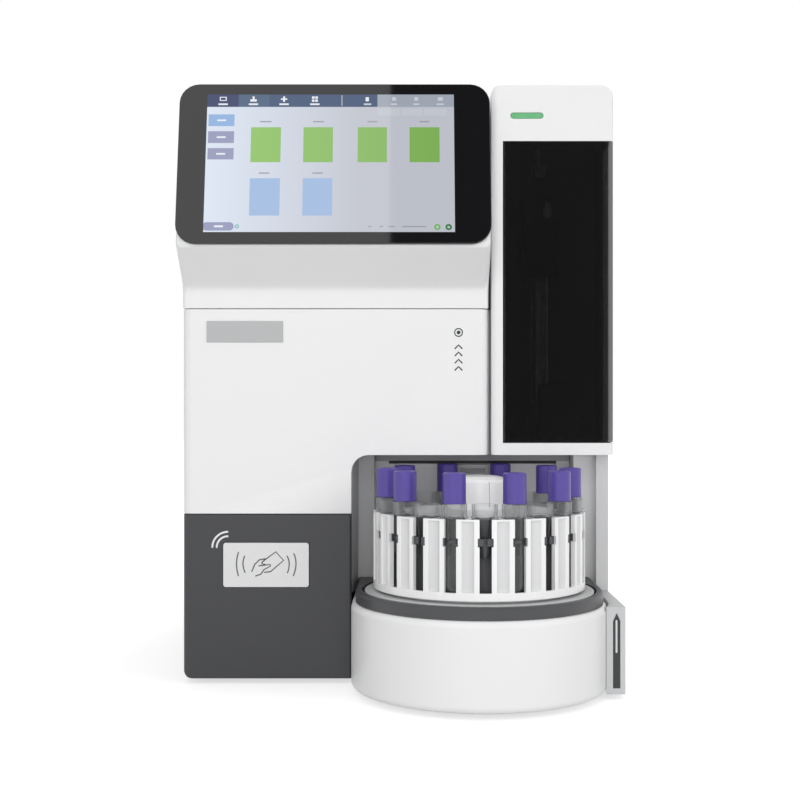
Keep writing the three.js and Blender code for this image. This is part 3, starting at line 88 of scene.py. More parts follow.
def makeCamera():
    plan = cameraPlan
    data = bpy.data.cameras.new("photoCamera")
    data.sensor_width = plan["sensor"]
    data.lens = plan["sensor"] * plan["focalPixels"] / plan["imagePixels"]
    data.clip_start, data.clip_end = 0.05, 50
    camera = bpy.data.objects.new("photoCamera", data)
    bpy.context.scene.collection.objects.link(camera)
    camera.location = Vector(plan["place"]) * mm
    camera.rotation_euler = (math.pi / 2, 0, 0)
    bpy.context.scene.camera = camera


def seenAt(pixelX, pixelY, depth):
    # where a pixel of the photograph lies on the plane y = depth, in millimetres
    x, y, z = cameraPlan["place"]
    reach = (depth - y) / cameraPlan["focalPixels"]
    half = cameraPlan["imagePixels"] / 2
    return Vector((x + (pixelX - half) * reach, depth, z - (pixelY - half) * reach))


makeCamera()


# Shader maths: a number that flows through the nodes
class Signal:
    def __init__(self, paint, socket):
        self.paint = paint
        self.socket = socket

    def maths(self, operation, *others):
        return self.paint.node("ShaderNodeMath", {"operation": operation}, [self, *others])

    def __add__(self, other):
        return self.maths("ADD", other)

    def __radd__(self, other):
        return self.maths("ADD", other)

    def __sub__(self, other):
        return self.maths("SUBTRACT", other)

    def __rsub__(self, other):
        return self.paint.node("ShaderNodeMath", {"operation": "SUBTRACT"}, [other, self])

    def __mul__(self, other):
        return self.maths("MULTIPLY", other)

    def __rmul__(self, other):
        return self.maths("MULTIPLY", other)

    def __truediv__(self, other):
        return self.maths("DIVIDE", other)

    def __gt__(self, other):
        return self.maths("GREATER_THAN", other)

    def __lt__(self, other):
        return self.maths("LESS_THAN", other)

    def between(self, low, high):
        return (self > low) * (self < high)


class Paint:
    def __init__(self, name):
        self.material = bpy.data.materials.new(name)
        self.material.use_nodes = True
        self.tree = self.material.node_tree
        self.shader = self.tree.nodes["Principled BSDF"]

    def node(self, kind, settings=None, inputs=(), output=0):
        made = self.tree.nodes.new(kind)
        for key, value in (settings or {}).items():
            setattr(made, key, value)
        pairs = inputs.items() if isinstance(inputs, dict) else enumerate(inputs)
        for key, value in pairs:
            self.feed(made.inputs[key], value)
        return Signal(self, made.outputs[output])

    def feed(self, socket, value):
        if isinstance(value, Signal):
            self.tree.links.new(value.socket, socket)
        else:
            socket.default_value = value

    def set(self, **values):
        for key, value in values.items():
            self.feed(self.shader.inputs[key.replace("_", " ")], value)

    def place(self, stretch):
        here = self.node("ShaderNodeTexCoord", output="Object")
        return self.node("ShaderNodeMapping", {}, {"Vector": here, "Scale": stretch})

    def noise(self, scale, detail=2, stretch=(1, 1, 1)):
        inputs = {"Vector": self.place(stretch), "Scale": scale, "Detail": detail}
        return self.node("ShaderNodeTexNoise", {}, inputs)

    def blend(self, share, first, second):
        # colours [r, g, b, 1] or colour signals
        inputs = {"Factor": share, 6: first, 7: second}
        return self.node("ShaderNodeMix", {"data_type": "RGBA"}, inputs, output=2)

    def bump(self, height, distance, strength=1):
        self.set(Normal=self.node(
            "ShaderNodeBump", {}, {"Height": height, "Distance": distance, "Strength": strength},
        ))


def tint(colour, factor=1.0):
    return [min(1, channel * factor) for channel in colour] + [1]


# Moulded and painted finishes, some of which paint shade on the tray and in the bay: colour, roughness, drift
# of the colour, and the grain's scale and depth
cloudPlan = {"scale": 9, "gloss": 0.08, "grainGloss": 0.06}
plasticPlan = {
    "whitePlastic": ((0.83, 0.83, 0.835), 0.36, 0.012, 1500, 0.00003),
    "whiteGloss": ((0.9, 0.9, 0.9), 0.24, 0.01, 900, 0.00002),
    "lightGrey": ((0.56, 0.565, 0.57), 0.42, 0.02, 1400, 0.00003),
    "linerGrey": ((0.62, 0.622, 0.63), 0.5, 0.02, 1400, 0.00003),
    "readerGrey": ((0.74, 0.74, 0.745), 0.35, 0.012, 1600, 0.00002),
    "darkGrey": ((0.041, 0.042, 0.047), 0.46, 0.06, 1100, 0.00006),
    "deckGrey": ((0.056, 0.057, 0.061), 0.4, 0.05, 1200, 0.00005),
    "blackPlastic": ((0.014, 0.014, 0.015), 0.45, 0.12, 1300, 0.00005),
    "headerGrey": ((0.36, 0.362, 0.37), 0.5, 0.04, 1300, 0.00003),
    "pocketGrey": ((0.13, 0.133, 0.138), 0.5, 0.06, 1300, 0.00003),
    "fluteGrey": ((0.7, 0.703, 0.71), 0.3, 0.02, 900, 0.00002),
    "plateAndShadeGrey": ((0.46, 0.463, 0.47), 0.34, 0.02, 2400, 0.00004),
    "stripInk": ((0.03, 0.032, 0.032), 0.4, 0.06, 1800, 0.00001),
    "lineInk": ((0.66, 0.66, 0.66), 0.4, 0.05, 1800, 0.00001),
    "markInk": ((0.03, 0.03, 0.032), 0.55, 0.1, 2200, 0.00001),
    "whiteInk": ((0.8, 0.8, 0.8), 0.5, 0.02, 2200, 0.00001),
    "greyInk": ((0.1, 0.1, 0.105), 0.5, 0.05, 2200, 0.00001),
    "smokedEdgeHighlight": ((0.135, 0.135, 0.138), 0.25, 0.06, 900, 0.00001),
    "rubber": ((0.022, 0.022, 0.023), 0.82, 0.2, 800, 0.00012),
    "springGrey": ((0.06, 0.063, 0.066), 0.34, 0.08, 1500, 0.00002),
    "sheetPaint": ((0.5, 0.505, 0.515), 0.55, 0.03, 950, 0.00009),
    "nylon": ((0.72, 0.71, 0.66), 0.4, 0.03, 900, 0.00003),
}


def makePlastic(name, colour, rough, drift, scale, depth):
    paint = Paint(name)
    cloud = paint.noise(cloudPlan["scale"], 3)
    grain = paint.noise(scale, 2)
    paint.set(
        Base_Color=paint.blend(cloud, tint(colour, 1 - drift), tint(colour, 1 + drift)),
        Roughness=(cloud - 0.5) * cloudPlan["gloss"] + (grain - 0.5) * cloudPlan["grainGloss"] + rough,
    )
    paint.bump(grain, depth)
    return paint.material


# Metals, with a grain that runs along one axis: colour, roughness, stretch and scale of the grain
metalPlan = {
    "steel": ((0.62, 0.63, 0.64), 0.26, (1, 1, 0.05), 1400),
    "steelAcross": ((0.64, 0.64, 0.65), 0.28, (0.05, 1, 1), 1400),
    "castAluminium": ((0.55, 0.56, 0.57), 0.4, (1, 1, 1), 700),
    "blackAnodised": ((0.035, 0.035, 0.038), 0.34, (1, 1, 0.2), 1200),
    "brass": ((0.68, 0.5, 0.24), 0.28, (1, 1, 0.3), 900),
}


def makeMetal(name, colour, rough, stretch, scale):
    paint = Paint(name)
    grain = paint.noise(scale, 3, stretch)
    patch = paint.noise(30, 3)
    paint.set(
        Base_Color=paint.blend(patch, tint(colour, 0.92), tint(colour, 1.06)), Metallic=1.0,
        Roughness=(grain - 0.5) * 0.16 + (patch - 0.5) * 0.08 + rough,
    )
    paint.bump(grain, 0.00003, 0.5)
    return paint.material


# Purple cap: satin plastic, a touch translucent
capPlan = {"colour": (0.087, 0.058, 0.315), "rough": 0.36}


def makeCapPaint():
    paint = Paint("capPurple")
    drift = paint.noise(60, 2)
    grain = paint.noise(1600, 2)
    paint.set(
        Base_Color=paint.blend(drift, tint(capPlan["colour"], 0.93), tint(capPlan["colour"], 1.07)),
        Roughness=(grain - 0.5) * 0.08 + capPlan["rough"], Subsurface_Weight=0.06, Subsurface_Scale=0.002,
    )
    paint.bump(grain, 0.00002)
    return paint.material


# Clear pieces, see-through, with a dark rim colour towards their edges that is painted shade for the dark
# outlines glass shows, and more solid there: colour, rim colour, roughness, cover where faced, cover added at
# the edge, and how narrow the edge is
clearPlan = {
    "tubeGlass": ((0.85, 0.87, 0.87), (0.025, 0.028, 0.03), 0.05, 0.03, 0.85, 2.4),
    "clearPlastic": ((0.6, 0.62, 0.63), (0.02, 0.022, 0.024), 0.06, 0.07, 0.9, 2.2),
}


def makeClear(name, colour, rim, rough, faced, edge, narrow):
    paint = Paint(name)
    facing = paint.node("ShaderNodeLayerWeight", {}, {"Blend": 0.5}, output="Facing").maths("POWER", narrow)
    haze = paint.noise(90, 2)
    body = paint.blend(haze, tint(colour, 0.95), tint(colour, 1.02))
    # Painted shade: the rim colour darkens the edges for the dark outlines of refraction
    paint.set(
        Base_Color=paint.blend(facing, body, tint(rim)), Roughness=haze * 0.04 + rough,
        Alpha=facing * edge + faced,
    )
    return paint.material


# Smoked window: dark, and clear enough to show faintly what is behind it
smokedPlan = {"colour": (0.01, 0.01, 0.0105), "rough": 0.07, "cover": 0.66}


def makeSmoked():
    paint = Paint("smokedAcrylic")
    haze = paint.noise(14, 2)
    paint.set(
        Base_Color=paint.blend(haze, tint(smokedPlan["colour"], 0.9), tint(smokedPlan["colour"], 1.1)),
        Roughness=haze * 0.02 + smokedPlan["rough"], Alpha=haze * 0.02 + smokedPlan["cover"],
    )
    return paint.material


# Status light: a green diffuser that glows
lightPlan = {"colour": (0.11, 0.37, 0.16), "glow": 0.24}


def makeLightPaint():
    paint = Paint("greenLight")
    mottle = paint.noise(250, 2)
    green = paint.blend(mottle, tint(lightPlan["colour"], 0.9), tint(lightPlan["colour"], 1.1))
    paint.set(Base_Color=green, Roughness=0.3, Emission_Color=green, Emission_Strength=lightPlan["glow"])
    return paint.material


paints = {name: makePlastic(name, *plan) for name, plan in plasticPlan.items()}
paints.update({name: makeMetal(name, *plan) for name, plan in metalPlan.items()})
paints.update({name: makeClear(name, *plan) for name, plan in clearPlan.items()})
paints["capPurple"] = makeCapPaint()
paints["smokedAcrylic"] = makeSmoked()
paints["greenLight"] = makeLightPaint()
print("finishes made:", len(paints))


overrun = 5  # how far a cutter reaches past what it cuts, in millimetres
inkProud = 0.1  # how far a printed mark stands out


# Modelling: select one piece, settle its place into its mesh, apply its modifiers
def choose(piece):
    if bpy.context.object and bpy.context.object.mode != "OBJECT":
        bpy.ops.object.mode_set(mode="OBJECT")
    bpy.ops.object.select_all(action="DESELECT")
    piece.select_set(True)
    bpy.context.view_layer.objects.active = piece


def settle(piece):
    choose(piece)
    bpy.ops.object.transform_apply(location=True, rotation=True, scale=True)
    return piece


def added(name):
    piece = bpy.context.object
    piece.name = name
    piece.data.name = name
    return settle(piece)


def applied(piece):
    choose(piece)
    for modifier in list(piece.modifiers):
        bpy.ops.object.modifier_apply(modifier=modifier.name)
    return piece


def editAll(piece):
    choose(piece)
    bpy.ops.object.mode_set(mode="EDIT")
    bpy.ops.mesh.select_mode(type="VERT")
    bpy.ops.mesh.select_all(action="SELECT")


def pick(piece, kind, rule):
    # selects the vertices, edges or faces whose middle passes the rule, and stays in edit mode
    editAll(piece)
    bpy.ops.mesh.select_mode(type=kind)
    bpy.ops.mesh.select_all(action="DESELECT")
    bpy.ops.object.mode_set(mode="OBJECT")
    points = piece.data.vertices
    if kind == "VERT":
        for point in points:
            point.select = bool(rule(point.co))
    elif kind == "EDGE":
        for edge in piece.data.edges:
            ends = [points[index].co for index in edge.vertices]
            edge.select = bool(rule(*ends))
    else:
        for face in piece.data.polygons:
            face.select = bool(rule(face.center, face.normal))
    bpy.ops.object.mode_set(mode="EDIT")


def outward(piece, weld=0.001):
    editAll(piece)
    bpy.ops.mesh.remove_doubles(threshold=weld)
    bpy.ops.mesh.normals_make_consistent(inside=False)
    bpy.ops.object.mode_set(mode="OBJECT")
    return piece


def eased(piece, width, segments=3, angle=40):
    # rounds every edge sharper than the angle
    modifier = piece.modifiers.new("ease", "BEVEL")
    modifier.width = width
    modifier.segments = segments
    modifier.limit_method = "ANGLE"
    modifier.angle_limit = math.radians(angle)
    return applied(piece)


def smoothed(piece, angle=35):
    choose(piece)
    bpy.ops.object.shade_smooth_by_angle(angle=math.radians(angle))
    modifier = piece.modifiers.new("flats", "WEIGHTED_NORMAL")
    modifier.keep_sharp = True
    modifier.weight = 100
    return applied(piece)


def carved(piece, cutter, operation="DIFFERENCE"):
    modifier = piece.modifiers.new("carve", "BOOLEAN")
    modifier.operation = operation
    modifier.solver = "EXACT"
    modifier.object = cutter
    applied(piece)
    bpy.data.objects.remove(cutter)
    return piece


def joined(pieces, name):
    choose(pieces[0])
    for piece in pieces[1:]:
        piece.select_set(True)
    bpy.ops.object.join()
    return added(name)


def copied(piece, name, turn, about):
    # a copy with its own mesh, turned about a standing axis
    choose(piece)
    bpy.ops.object.duplicate(linked=False)
    copy = added(name)
    editAll(copy)
    if turn:
        # with no window, rotate turns the other way
        bpy.ops.transform.rotate(value=-turn, orient_axis="Z", center_override=tuple(about))
    bpy.ops.object.mode_set(mode="OBJECT")
    return copy


def block(name, low, high, edge=0.0, segments=3):
    size = [b - a for a, b in zip(low, high)]
    centre = [(a + b) / 2 for a, b in zip(low, high)]
    bpy.ops.mesh.primitive_cube_add(size=1, location=centre, scale=size)
    piece = added(name)
    return eased(piece, edge, segments) if edge else piece


def spread(axis, u, v, w):
    # outline coordinates u and v, and the run w, as x, y and z
    return {"X": (w, u, v), "Y": (u, w, v), "Z": (u, v, w)}[axis]


def filleted(corners, steps=6):
    # points of an outline of corners (u, v, radius)
    points = []
    count = len(corners)
    for index, (u, v, radius) in enumerate(corners):
        here = Vector((u, v))
        if not radius:
            points.append(here)
            continue
        before = (Vector(corners[index - 1][:2]) - here).normalized()
        after = (Vector(corners[(index + 1) % count][:2]) - here).normalized()
        half = before.angle(after) / 2
        centre = here + (before + after).normalized() * (radius / math.sin(half))
        start = here + before * (radius / math.tan(half)) - centre
        end = here + after * (radius / math.tan(half)) - centre
        sweep = start.angle_signed(end)
        for step in range(steps + 1):
            angle = -sweep * step / steps
            swung = Vector((
                start.x * math.cos(angle) - start.y * math.sin(angle),
                start.x * math.sin(angle) + start.y * math.cos(angle),
            ))
            points.append(centre + swung)
    return points


def roundRect(u0, u1, v0, v1, radius):
    return filleted([(u0, v0, radius), (u1, v0, radius), (u1, v1, radius), (u0, v1, radius)])


def prism(name, points, start, end, axis="Z", edge=0.0, segments=3):
    # an outline run along an axis
    bpy.ops.mesh.primitive_circle_add(vertices=len(points), radius=1, fill_type="NGON")
    piece = added(name)
    for vertex, (u, v) in zip(piece.data.vertices, points):
        vertex.co = spread(axis, u, v, start)
    editAll(piece)
    bpy.ops.mesh.extrude_region_move(TRANSFORM_OT_translate={"value": spread(axis, 0, 0, end - start)})
    outward(piece)
    return eased(piece, edge, segments) if edge else piece


def rod(name, radius, centre, start, end, axis="Z", sides=32, edge=0.0):
    # a round bar along an axis; centre is its (u, v) place across that axis
    turn = {"X": (0, math.pi / 2, 0), "Y": (math.pi / 2, 0, 0), "Z": (0, 0, 0)}[axis]
    bpy.ops.mesh.primitive_cylinder_add(
        vertices=sides, radius=radius, depth=abs(end - start), rotation=turn,
        location=spread(axis, centre[0], centre[1], (start + end) / 2),
    )
    piece = added(name)
    return eased(piece, edge) if edge else piece


def lathed(name, profile, centre=(0, 0, 0), axis="Z", sides=64, rounding=4):
    # a profile of (radius, height) or (radius, height, fillet) turned about an axis
    corners = [(*corner, 0)[:3] for corner in profile]
    ends = corners[0][:2] != corners[-1][:2]
    points = filleted(corners, rounding) if ends else filleted(corners[:-1], rounding)
    points = [Vector((max(point[0], 0.0004), point[1])) for point in points]
    if not ends:
        points.append(points[0])
    first = points[0]
    bpy.ops.mesh.primitive_circle_add(vertices=sides, radius=first[0], location=(0, 0, first[1]))
    piece = added(name)
    editAll(piece)
    bpy.ops.mesh.select_mode(type="EDGE")
    for before, point in zip(points, points[1:]):
        bpy.ops.mesh.extrude_edges_move(TRANSFORM_OT_translate={"value": (0, 0, point[1] - before[1])})
        wider = point[0] / before[0]
        bpy.ops.transform.resize(value=(wider, wider, 1), center_override=(0, 0, point[1]))
    outward(piece, 0.002)
    piece.rotation_euler = {"X": (0, math.pi / 2, 0), "Y": (-math.pi / 2, 0, 0), "Z": (0, 0, 0)}[axis]
    piece.location = centre
    return settle(piece)


def refined(node, edge):
    # a node's own form, merged and with its edges eased
    choose(frame["nodes"][node])
    bpy.ops.object.duplicate(linked=False)
    piece = bpy.context.object
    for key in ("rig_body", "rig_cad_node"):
        del piece[key]
    piece.parent = None
    piece.name = node + "_form"
    piece.data.name = piece.name
    piece.scale = (1 / mm, 1 / mm, 1 / mm)
    settle(piece)
    if piece.data.has_custom_normals:
        bpy.ops.mesh.customdata_custom_splitnormals_clear()
    editAll(piece)
    bpy.ops.mesh.remove_doubles(threshold=0.004)
    bpy.ops.mesh.dissolve_limited(angle_limit=math.radians(0.5))
    bpy.ops.object.mode_set(mode="OBJECT")
    return eased(piece, edge) if edge else piece


def dress(piece, paint, stands=(), body=None, angle=35):
    # the finished piece in metres, with its finish, its body and the nodes it stands for
    stands = [stands] if isinstance(stands, str) else list(stands)
    smoothed(piece, angle)
    piece.scale = (mm, mm, mm)
    settle(piece)
    if paint:
        piece.data.materials.clear()
        piece.data.materials.append(paints[paint])
    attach(piece, body or bodyOf[stands[0]])
    if stands:
        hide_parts(*stands)
    return piece


def turned(node, profile, paint, axis="Z", sides=32):
    # a profile turned about a node's own axis, dressed to stand for that node
    centre = middle(node)
    centre["XYZ".index(axis)] = 0
    return dress(lathed(node + "_form", profile, centre, axis, sides, 3), paint, node)


def repaint(piece, paint, rule):
    # gives the faces whose middle, in millimetres, and normal pass the rule another finish
    piece.data.materials.append(paints[paint])
    for face in piece.data.polygons:
        if rule(face.center / mm, face.normal):
            face.material_index = len(piece.data.materials) - 1


# Inner pieces that nothing shows keep their own form and get a finish
innerPlan = {
    "base_plate": "sheetPaint", "carousel_motor": "blackPlastic", "carousel_shaft": "steel",
    "drive_gear": "nylon", "drive_pinion": "brass", "lcd_panel": "lightGrey",
}
for node, paint in innerPlan.items():
    frame["nodes"][node].material_slots[0].material = paints[paint]

# Housings and panels: their own forms with eased edges
panelPlan = {
    "base_cabinet": ("darkGrey", 0.7), "main_cover": ("whitePlastic", 0.9),
    "rear_panel": ("sheetPaint", 0.35), "module_frame": ("sheetPaint", 0.4),
    "column_oven": ("castAluminium", 0.8), "front_door": ("whitePlastic", 0.9),
    "display_head": ("whitePlastic", 0.8), "tower_housing": ("whitePlastic", 0.7),
    "barcode_scanner": ("lightGrey", 0.4), "side_pod": ("lightGrey", 0.7),
    "power_inlet": ("blackPlastic", 0.4), "pump_head": ("castAluminium", 0.5),
    "fan_guard": ("blackPlastic", 0.35), "fan_rotor": ("blackPlastic", 0.2),
    "data_ports": ("blackPlastic", 0.3), "power_switch": ("blackPlastic", 0.4),
    "lift_motor": ("blackPlastic", 0.7), "wash_station": ("blackPlastic", 0.5),
    "guide_rail": ("steel", 0.25), "needle_carriage": ("blackAnodised", 0.5),
    "status_light": ("greenLight", 0.35), "card_reader_window": ("readerGrey", 0.35),
}
panels = {node: dress(refined(node, edge), paint, node) for node, (paint, edge) in panelPlan.items()}
print("panels dressed:", len(panels))

# The tower is dark inside, and the scanner's window is darker than its case
towerPlan = {"wall": 4, "skin": 2.5}
scannerPlan = {"windowDepth": 0.5}


def paintTower():
    low, high = box("tower_housing")
    wall = towerPlan["wall"] - 0.5

    def isInside(centre, normal):
        inX = low.x + wall < centre.x < high.x - wall
        return inX and low.y + towerPlan["skin"] < centre.y and low.z + wall < centre.z < high.z - wall
    repaint(panels["tower_housing"], "darkGrey", isInside)
    front = box("barcode_scanner")[0].y
    repaint(
        panels["barcode_scanner"], "headerGrey",
        lambda centre, normal: normal.y < -0.9 and centre.y > front + scannerPlan["windowDepth"],
    )


# Bay: a white liner whose left part is painted grey as painted shade, a light grey jamb at its right, a
# header whose lower strip is painted black as a painted shadow gap
bayPlan = {
    "leftWall": 22, "backWall": 8, "lipHeight": 2, "liner": 0.5, "header": 0.4, "bracketWidth": 11,
    "bracketDrop": 2.8, "jambLeft": 155.6, "jambRight": 165.4, "jambFront": -76.4, "jambBack": -75.5,
    "wallLeft": 158.4, "wallBack": -59.6,
}


def makeBay():
    plan = bayPlan
    liner = dress(refined("bay_liner", plan["liner"]), "whitePlastic", "bay_liner")
    low, high = box("bay_liner")
    left, back = box("bay_header")[0].x + plan["leftWall"], high.y - plan["backWall"]
    # Painted shade: the left part of the white liner is painted grey for the shade on that wall
    repaint(liner, "plateAndShadeGrey", lambda centre, normal: centre.x < left and centre.y < back)
    # the jamb covers the front edges of the liner and the cover, and its inner side slopes out of
    # the camera's sight
    section = [
        (plan["jambLeft"], plan["jambFront"]), (plan["jambRight"], plan["jambFront"]),
        (plan["jambRight"], plan["jambBack"]), (plan["wallLeft"], plan["jambBack"]),
        (plan["wallLeft"], plan["wallBack"]),
    ]
    dress(
        prism("bay_cheek", section, low.z, high.z, "Z", 0.25), "linerGrey", (), "cabinet",
    )
    lip = box("bay_header")[0].z + plan["lipHeight"]
    header = refined("bay_header", 0)
    editAll(header)
    bpy.ops.mesh.bisect(plane_co=(0, 0, lip), plane_no=(0, 0, 1))
    bpy.ops.object.mode_set(mode="OBJECT")
    eased(header, plan["header"])
    dress(header, "headerGrey", "bay_header")
    # Painted shade: the header's lowest strip is painted black for the shadow gap beneath its front
    repaint(header, "blackPlastic", lambda centre, normal: centre.z < lip)
    headerLow, headerHigh = box("bay_header")
    bracket = block(
        "header_bracket",
        (headerHigh.x - plan["bracketWidth"], headerLow.y + 0.1, headerLow.z - plan["bracketDrop"]),
        (headerHigh.x - 0.2, headerHigh.y - 0.5, lip - 0.05), 0.3,
    )
    dress(bracket, "linerGrey", (), "cabinet")


# Tower window: smoked sheet whose right end is painted lighter, a painted highlight where the sheet turns the
# corner and reflects bright surroundings
windowPlan = {"endWidth": 3.3, "edge": 0.4, "endDepth": 4}


def makeWindow():
    plan = windowPlan
    low, high = box("tower_window")
    end = high.x - plan["endWidth"]
    window = refined("tower_window", 0)
    editAll(window)
    bpy.ops.mesh.bisect(plane_co=(end, 0, 0), plane_no=(1, 0, 0))
    bpy.ops.object.mode_set(mode="OBJECT")
    eased(window, plan["edge"])
    dress(window, "smokedAcrylic", "tower_window")
    repaint(
        window, "smokedEdgeHighlight", lambda centre, normal: centre.x > end and centre.y < low.y + plan["endDepth"]
    )


paintTower()
makeBay()
makeWindow()
print("tower and bay painted")


# Drum and deck: a half circle to the front and straight sides to the back
def drumForm(name, radius, back, bottom, top, sides=256):
    bpy.ops.mesh.primitive_circle_add(vertices=sides, radius=radius, location=(*carouselAxis.xy, bottom))
    piece = added(name)
    pick(piece, "VERT", lambda point: point.y > carouselAxis.y + 0.01)
    bpy.ops.mesh.delete(type="VERT")
    pick(piece, "VERT", lambda point: abs(point.y - carouselAxis.y) < 0.02)
    bpy.ops.mesh.extrude_vertices_move(TRANSFORM_OT_translate={"value": (0, back - carouselAxis.y, 0)})
    bpy.ops.mesh.select_all(action="SELECT")
    bpy.ops.mesh.edge_face_add()
    bpy.ops.mesh.extrude_region_move(TRANSFORM_OT_translate={"value": (0, 0, top - bottom)})
    return outward(piece)


def rimBevel(piece, heights, back, width, segments):
    # rounds the edges at these heights, but for those along the back
    def isRim(a, b):
        level = any(abs(a.z - height) < 0.01 and abs(b.z - height) < 0.01 for height in heights)
        return level and not (a.y > back - 0.01 and b.y > back - 0.01)
    pick(piece, "EDGE", isRim)
    bpy.ops.mesh.bevel(offset=width, segments=segments, affect="EDGES")
    bpy.ops.object.mode_set(mode="OBJECT")


drumPlan = {
    "wall": 4, "shoulder": 5, "mouth": 88, "lip": 0.5, "socketOuter": 11, "socketBore": 6.3,
    "socketHeight": 12,
}


def makeDrum():
    plan = drumPlan
    low, high = box("drum_shell")
    radius = (high.x - low.x) / 2
    shell = drumForm("drum_shell_form", radius, high.y, low.z, high.z)
    rimBevel(shell, (low.z, high.z), high.y, plan["shoulder"], 8)
    wall = plan["wall"]
    carved(shell, drumForm("cavity", radius - wall, high.y - wall, low.z + wall, high.z - wall, 128))
    carved(
        shell,
        rod("mouth", plan["mouth"], carouselAxis.xy, high.z - wall - overrun, high.z + overrun, sides=192),
    )
    socket = lathed("socket", [
        (plan["socketBore"], low.z + wall - 1), (plan["socketOuter"], low.z + wall - 1),
        (plan["socketOuter"], low.z + wall + plan["socketHeight"], 0.8),
        (plan["socketBore"], low.z + wall + plan["socketHeight"], 0.4),
        (plan["socketBore"], low.z + wall - 1),
    ], (*carouselAxis.xy, 0))
    eased(shell, plan["lip"], 3, 50)
    dress(joined([shell, socket], "drum_shell_form"), "whitePlastic", "drum_shell")


deckPlan = {"radius": 92.3, "bore": 87.6, "chamfer": 1.8, "edge": 0.3, "straight": 62.7}


def makeDeck():
    plan = deckPlan
    low, high = box("deck_ring")
    back = low.y + plan["radius"] + plan["straight"]
    ring = drumForm("deck_ring_form", plan["radius"], back, low.z, high.z)
    rimBevel(ring, (high.z,), back, plan["chamfer"], 4)
    tongueHalf = (box("bay_header")[1].x - box("bay_header")[0].x) / 2
    tongue = block(
        "tongue", (carouselAxis.x - tongueHalf, carouselAxis.y, low.z),
        (carouselAxis.x + tongueHalf, high.y, high.z),
    )
    carved(ring, tongue, "UNION")
    carved(ring, rod("bore", plan["bore"], carouselAxis.xy, low.z - overrun, high.z + overrun, sides=192))
    eased(ring, plan["edge"], 3, 50)
    dress(ring, "deckGrey", "deck_ring")


makeDrum()
makeDeck()
print("drum and deck made")

# Carousel: turntable, fluted tray, hub
turntablePlan = {"radius": 85.6, "step": 72, "stepHeight": 1.5, "bore": 6.3, "boss": 14, "bossHeight": 5}


def makeTurntable():
    plan = turntablePlan
    low, high = box("turntable")
    top = high.z - plan["stepHeight"]
    under = low.z + plan["bossHeight"]
    dress(lathed("turntable_form", [
        (plan["bore"], low.z), (plan["boss"], low.z, 0.5), (plan["boss"], under, 1),
        (plan["radius"], under, 0.6), (plan["radius"], top, 1.2), (plan["step"], top, 0.5),
        (plan["step"], high.z, 0.4), (plan["bore"], high.z), (plan["bore"], low.z),
    ], (*carouselAxis.xy, 0), sides=192), "lightGrey", "turntable")


trayPlan = {
    "radius": 79, "inner": 55, "bore": 7, "rim": 5.7, "floor": 4.4, "places": 20, "circle": 68.5,
    "pocket": 8.2, "slot": 8.5, "notch": 11, "notchHeight": 6, "notchDrop": 13, "flute": 5.5,
    "fluteDepth": 2.6, "fluteLow": 0.3, "fluteHigh": 1.2, "edge": 0.35,
}
placeTurn = 2 * math.pi / trayPlan["places"]


def makeTray():
    plan = trayPlan
    low, high = box("sample_tray")
    rim = low.z + plan["rim"]
    floor = low.z + plan["floor"]
    x, y = carouselAxis.xy
    tray = lathed("sample_tray_form", [
        (plan["bore"], low.z), (plan["radius"], low.z, 0.8), (plan["radius"], high.z, 0.5),
        (plan["inner"], high.z, 0.5), (plan["inner"], rim, 1.2), (plan["bore"], rim), (plan["bore"], low.z),
    ], (x, y, 0), sides=240, rounding=3)
    centre = (x, y - plan["circle"])
    half = plan["slot"] / 2
    notchTop = high.z - plan["notchDrop"]
    past = y - plan["radius"] - overrun
    notch = plan["notch"] / 2
    station = [
        rod("pocket", plan["pocket"], centre, floor, high.z + overrun, sides=36),
        block("slot", (x - half, past, rim), (x + half, centre[1], high.z + overrun)),
        block("notch", (x - notch, past, notchTop - plan["notchHeight"]), (x + notch, centre[1], notchTop)),
    ]
    cutter = station[0]
    for part in station[1:]:
        carved(cutter, part, "UNION")
    fluteY = y - plan["radius"] - plan["flute"] + plan["fluteDepth"]
    fluteLow, fluteTop = rim + plan["fluteLow"], high.z - plan["fluteHigh"]
    flute = rod("flute", plan["flute"], (x, fluteY), fluteLow, fluteTop, sides=64)
    cutters = []
    for index in range(plan["places"]):
        cutters.append(copied(cutter, "pocket%d" % index, index * placeTurn, carouselAxis))
        cutters.append(copied(flute, "flute%d" % index, (index + 0.5) * placeTurn, carouselAxis))
    bpy.data.objects.remove(cutter)
    bpy.data.objects.remove(flute)
    carved(tray, joined(cutters, "cutters"))
    eased(tray, plan["edge"], 2, 42)
    dress(tray, "whiteGloss", "sample_tray", angle=46)

    # Painted shade: the pocket walls of the white tray are painted dark grey for the shadow inside them
    def isPocketShade(centre, normal):
        # across and out from the middle of the nearest pocket
        flat = centre.xy - carouselAxis.xy
        share = (math.atan2(flat.x, -flat.y) / placeTurn) % 1
        turn = (share - 1 if share > 0.5 else share) * placeTurn
        across, out = flat.length * math.sin(turn), flat.length * math.cos(turn) - plan["circle"]
        isRound = math.hypot(across, out) < plan["pocket"] + 0.1 and out < plan["pocket"] - 1
        return centre.z > floor - 0.1 and isRound
    repaint(tray, "pocketGrey", isPocketShade)

    # Painted shade: the flutes of the white tray are painted light grey for the shade in their hollows
    def isFluteShade(centre, normal):
        flat = centre.xy - carouselAxis.xy
        share = (math.atan2(flat.x, -flat.y) / placeTurn) % 1
        inside = plan["radius"] - plan["fluteDepth"] - 0.3 < flat.length < plan["radius"] - 0.25
        return inside and 0.2 < share < 0.8 and rim < centre.z < high.z - 1 and abs(normal.z) < 0.5
    repaint(tray, "fluteGrey", isFluteShade)


hubPlan = {
    "radius": 26, "neck": 23, "neckDrop": 24, "dome": 3, "lineWidth": 0.7, "lineTurn": 16, "lineFrom": 21.5,
}


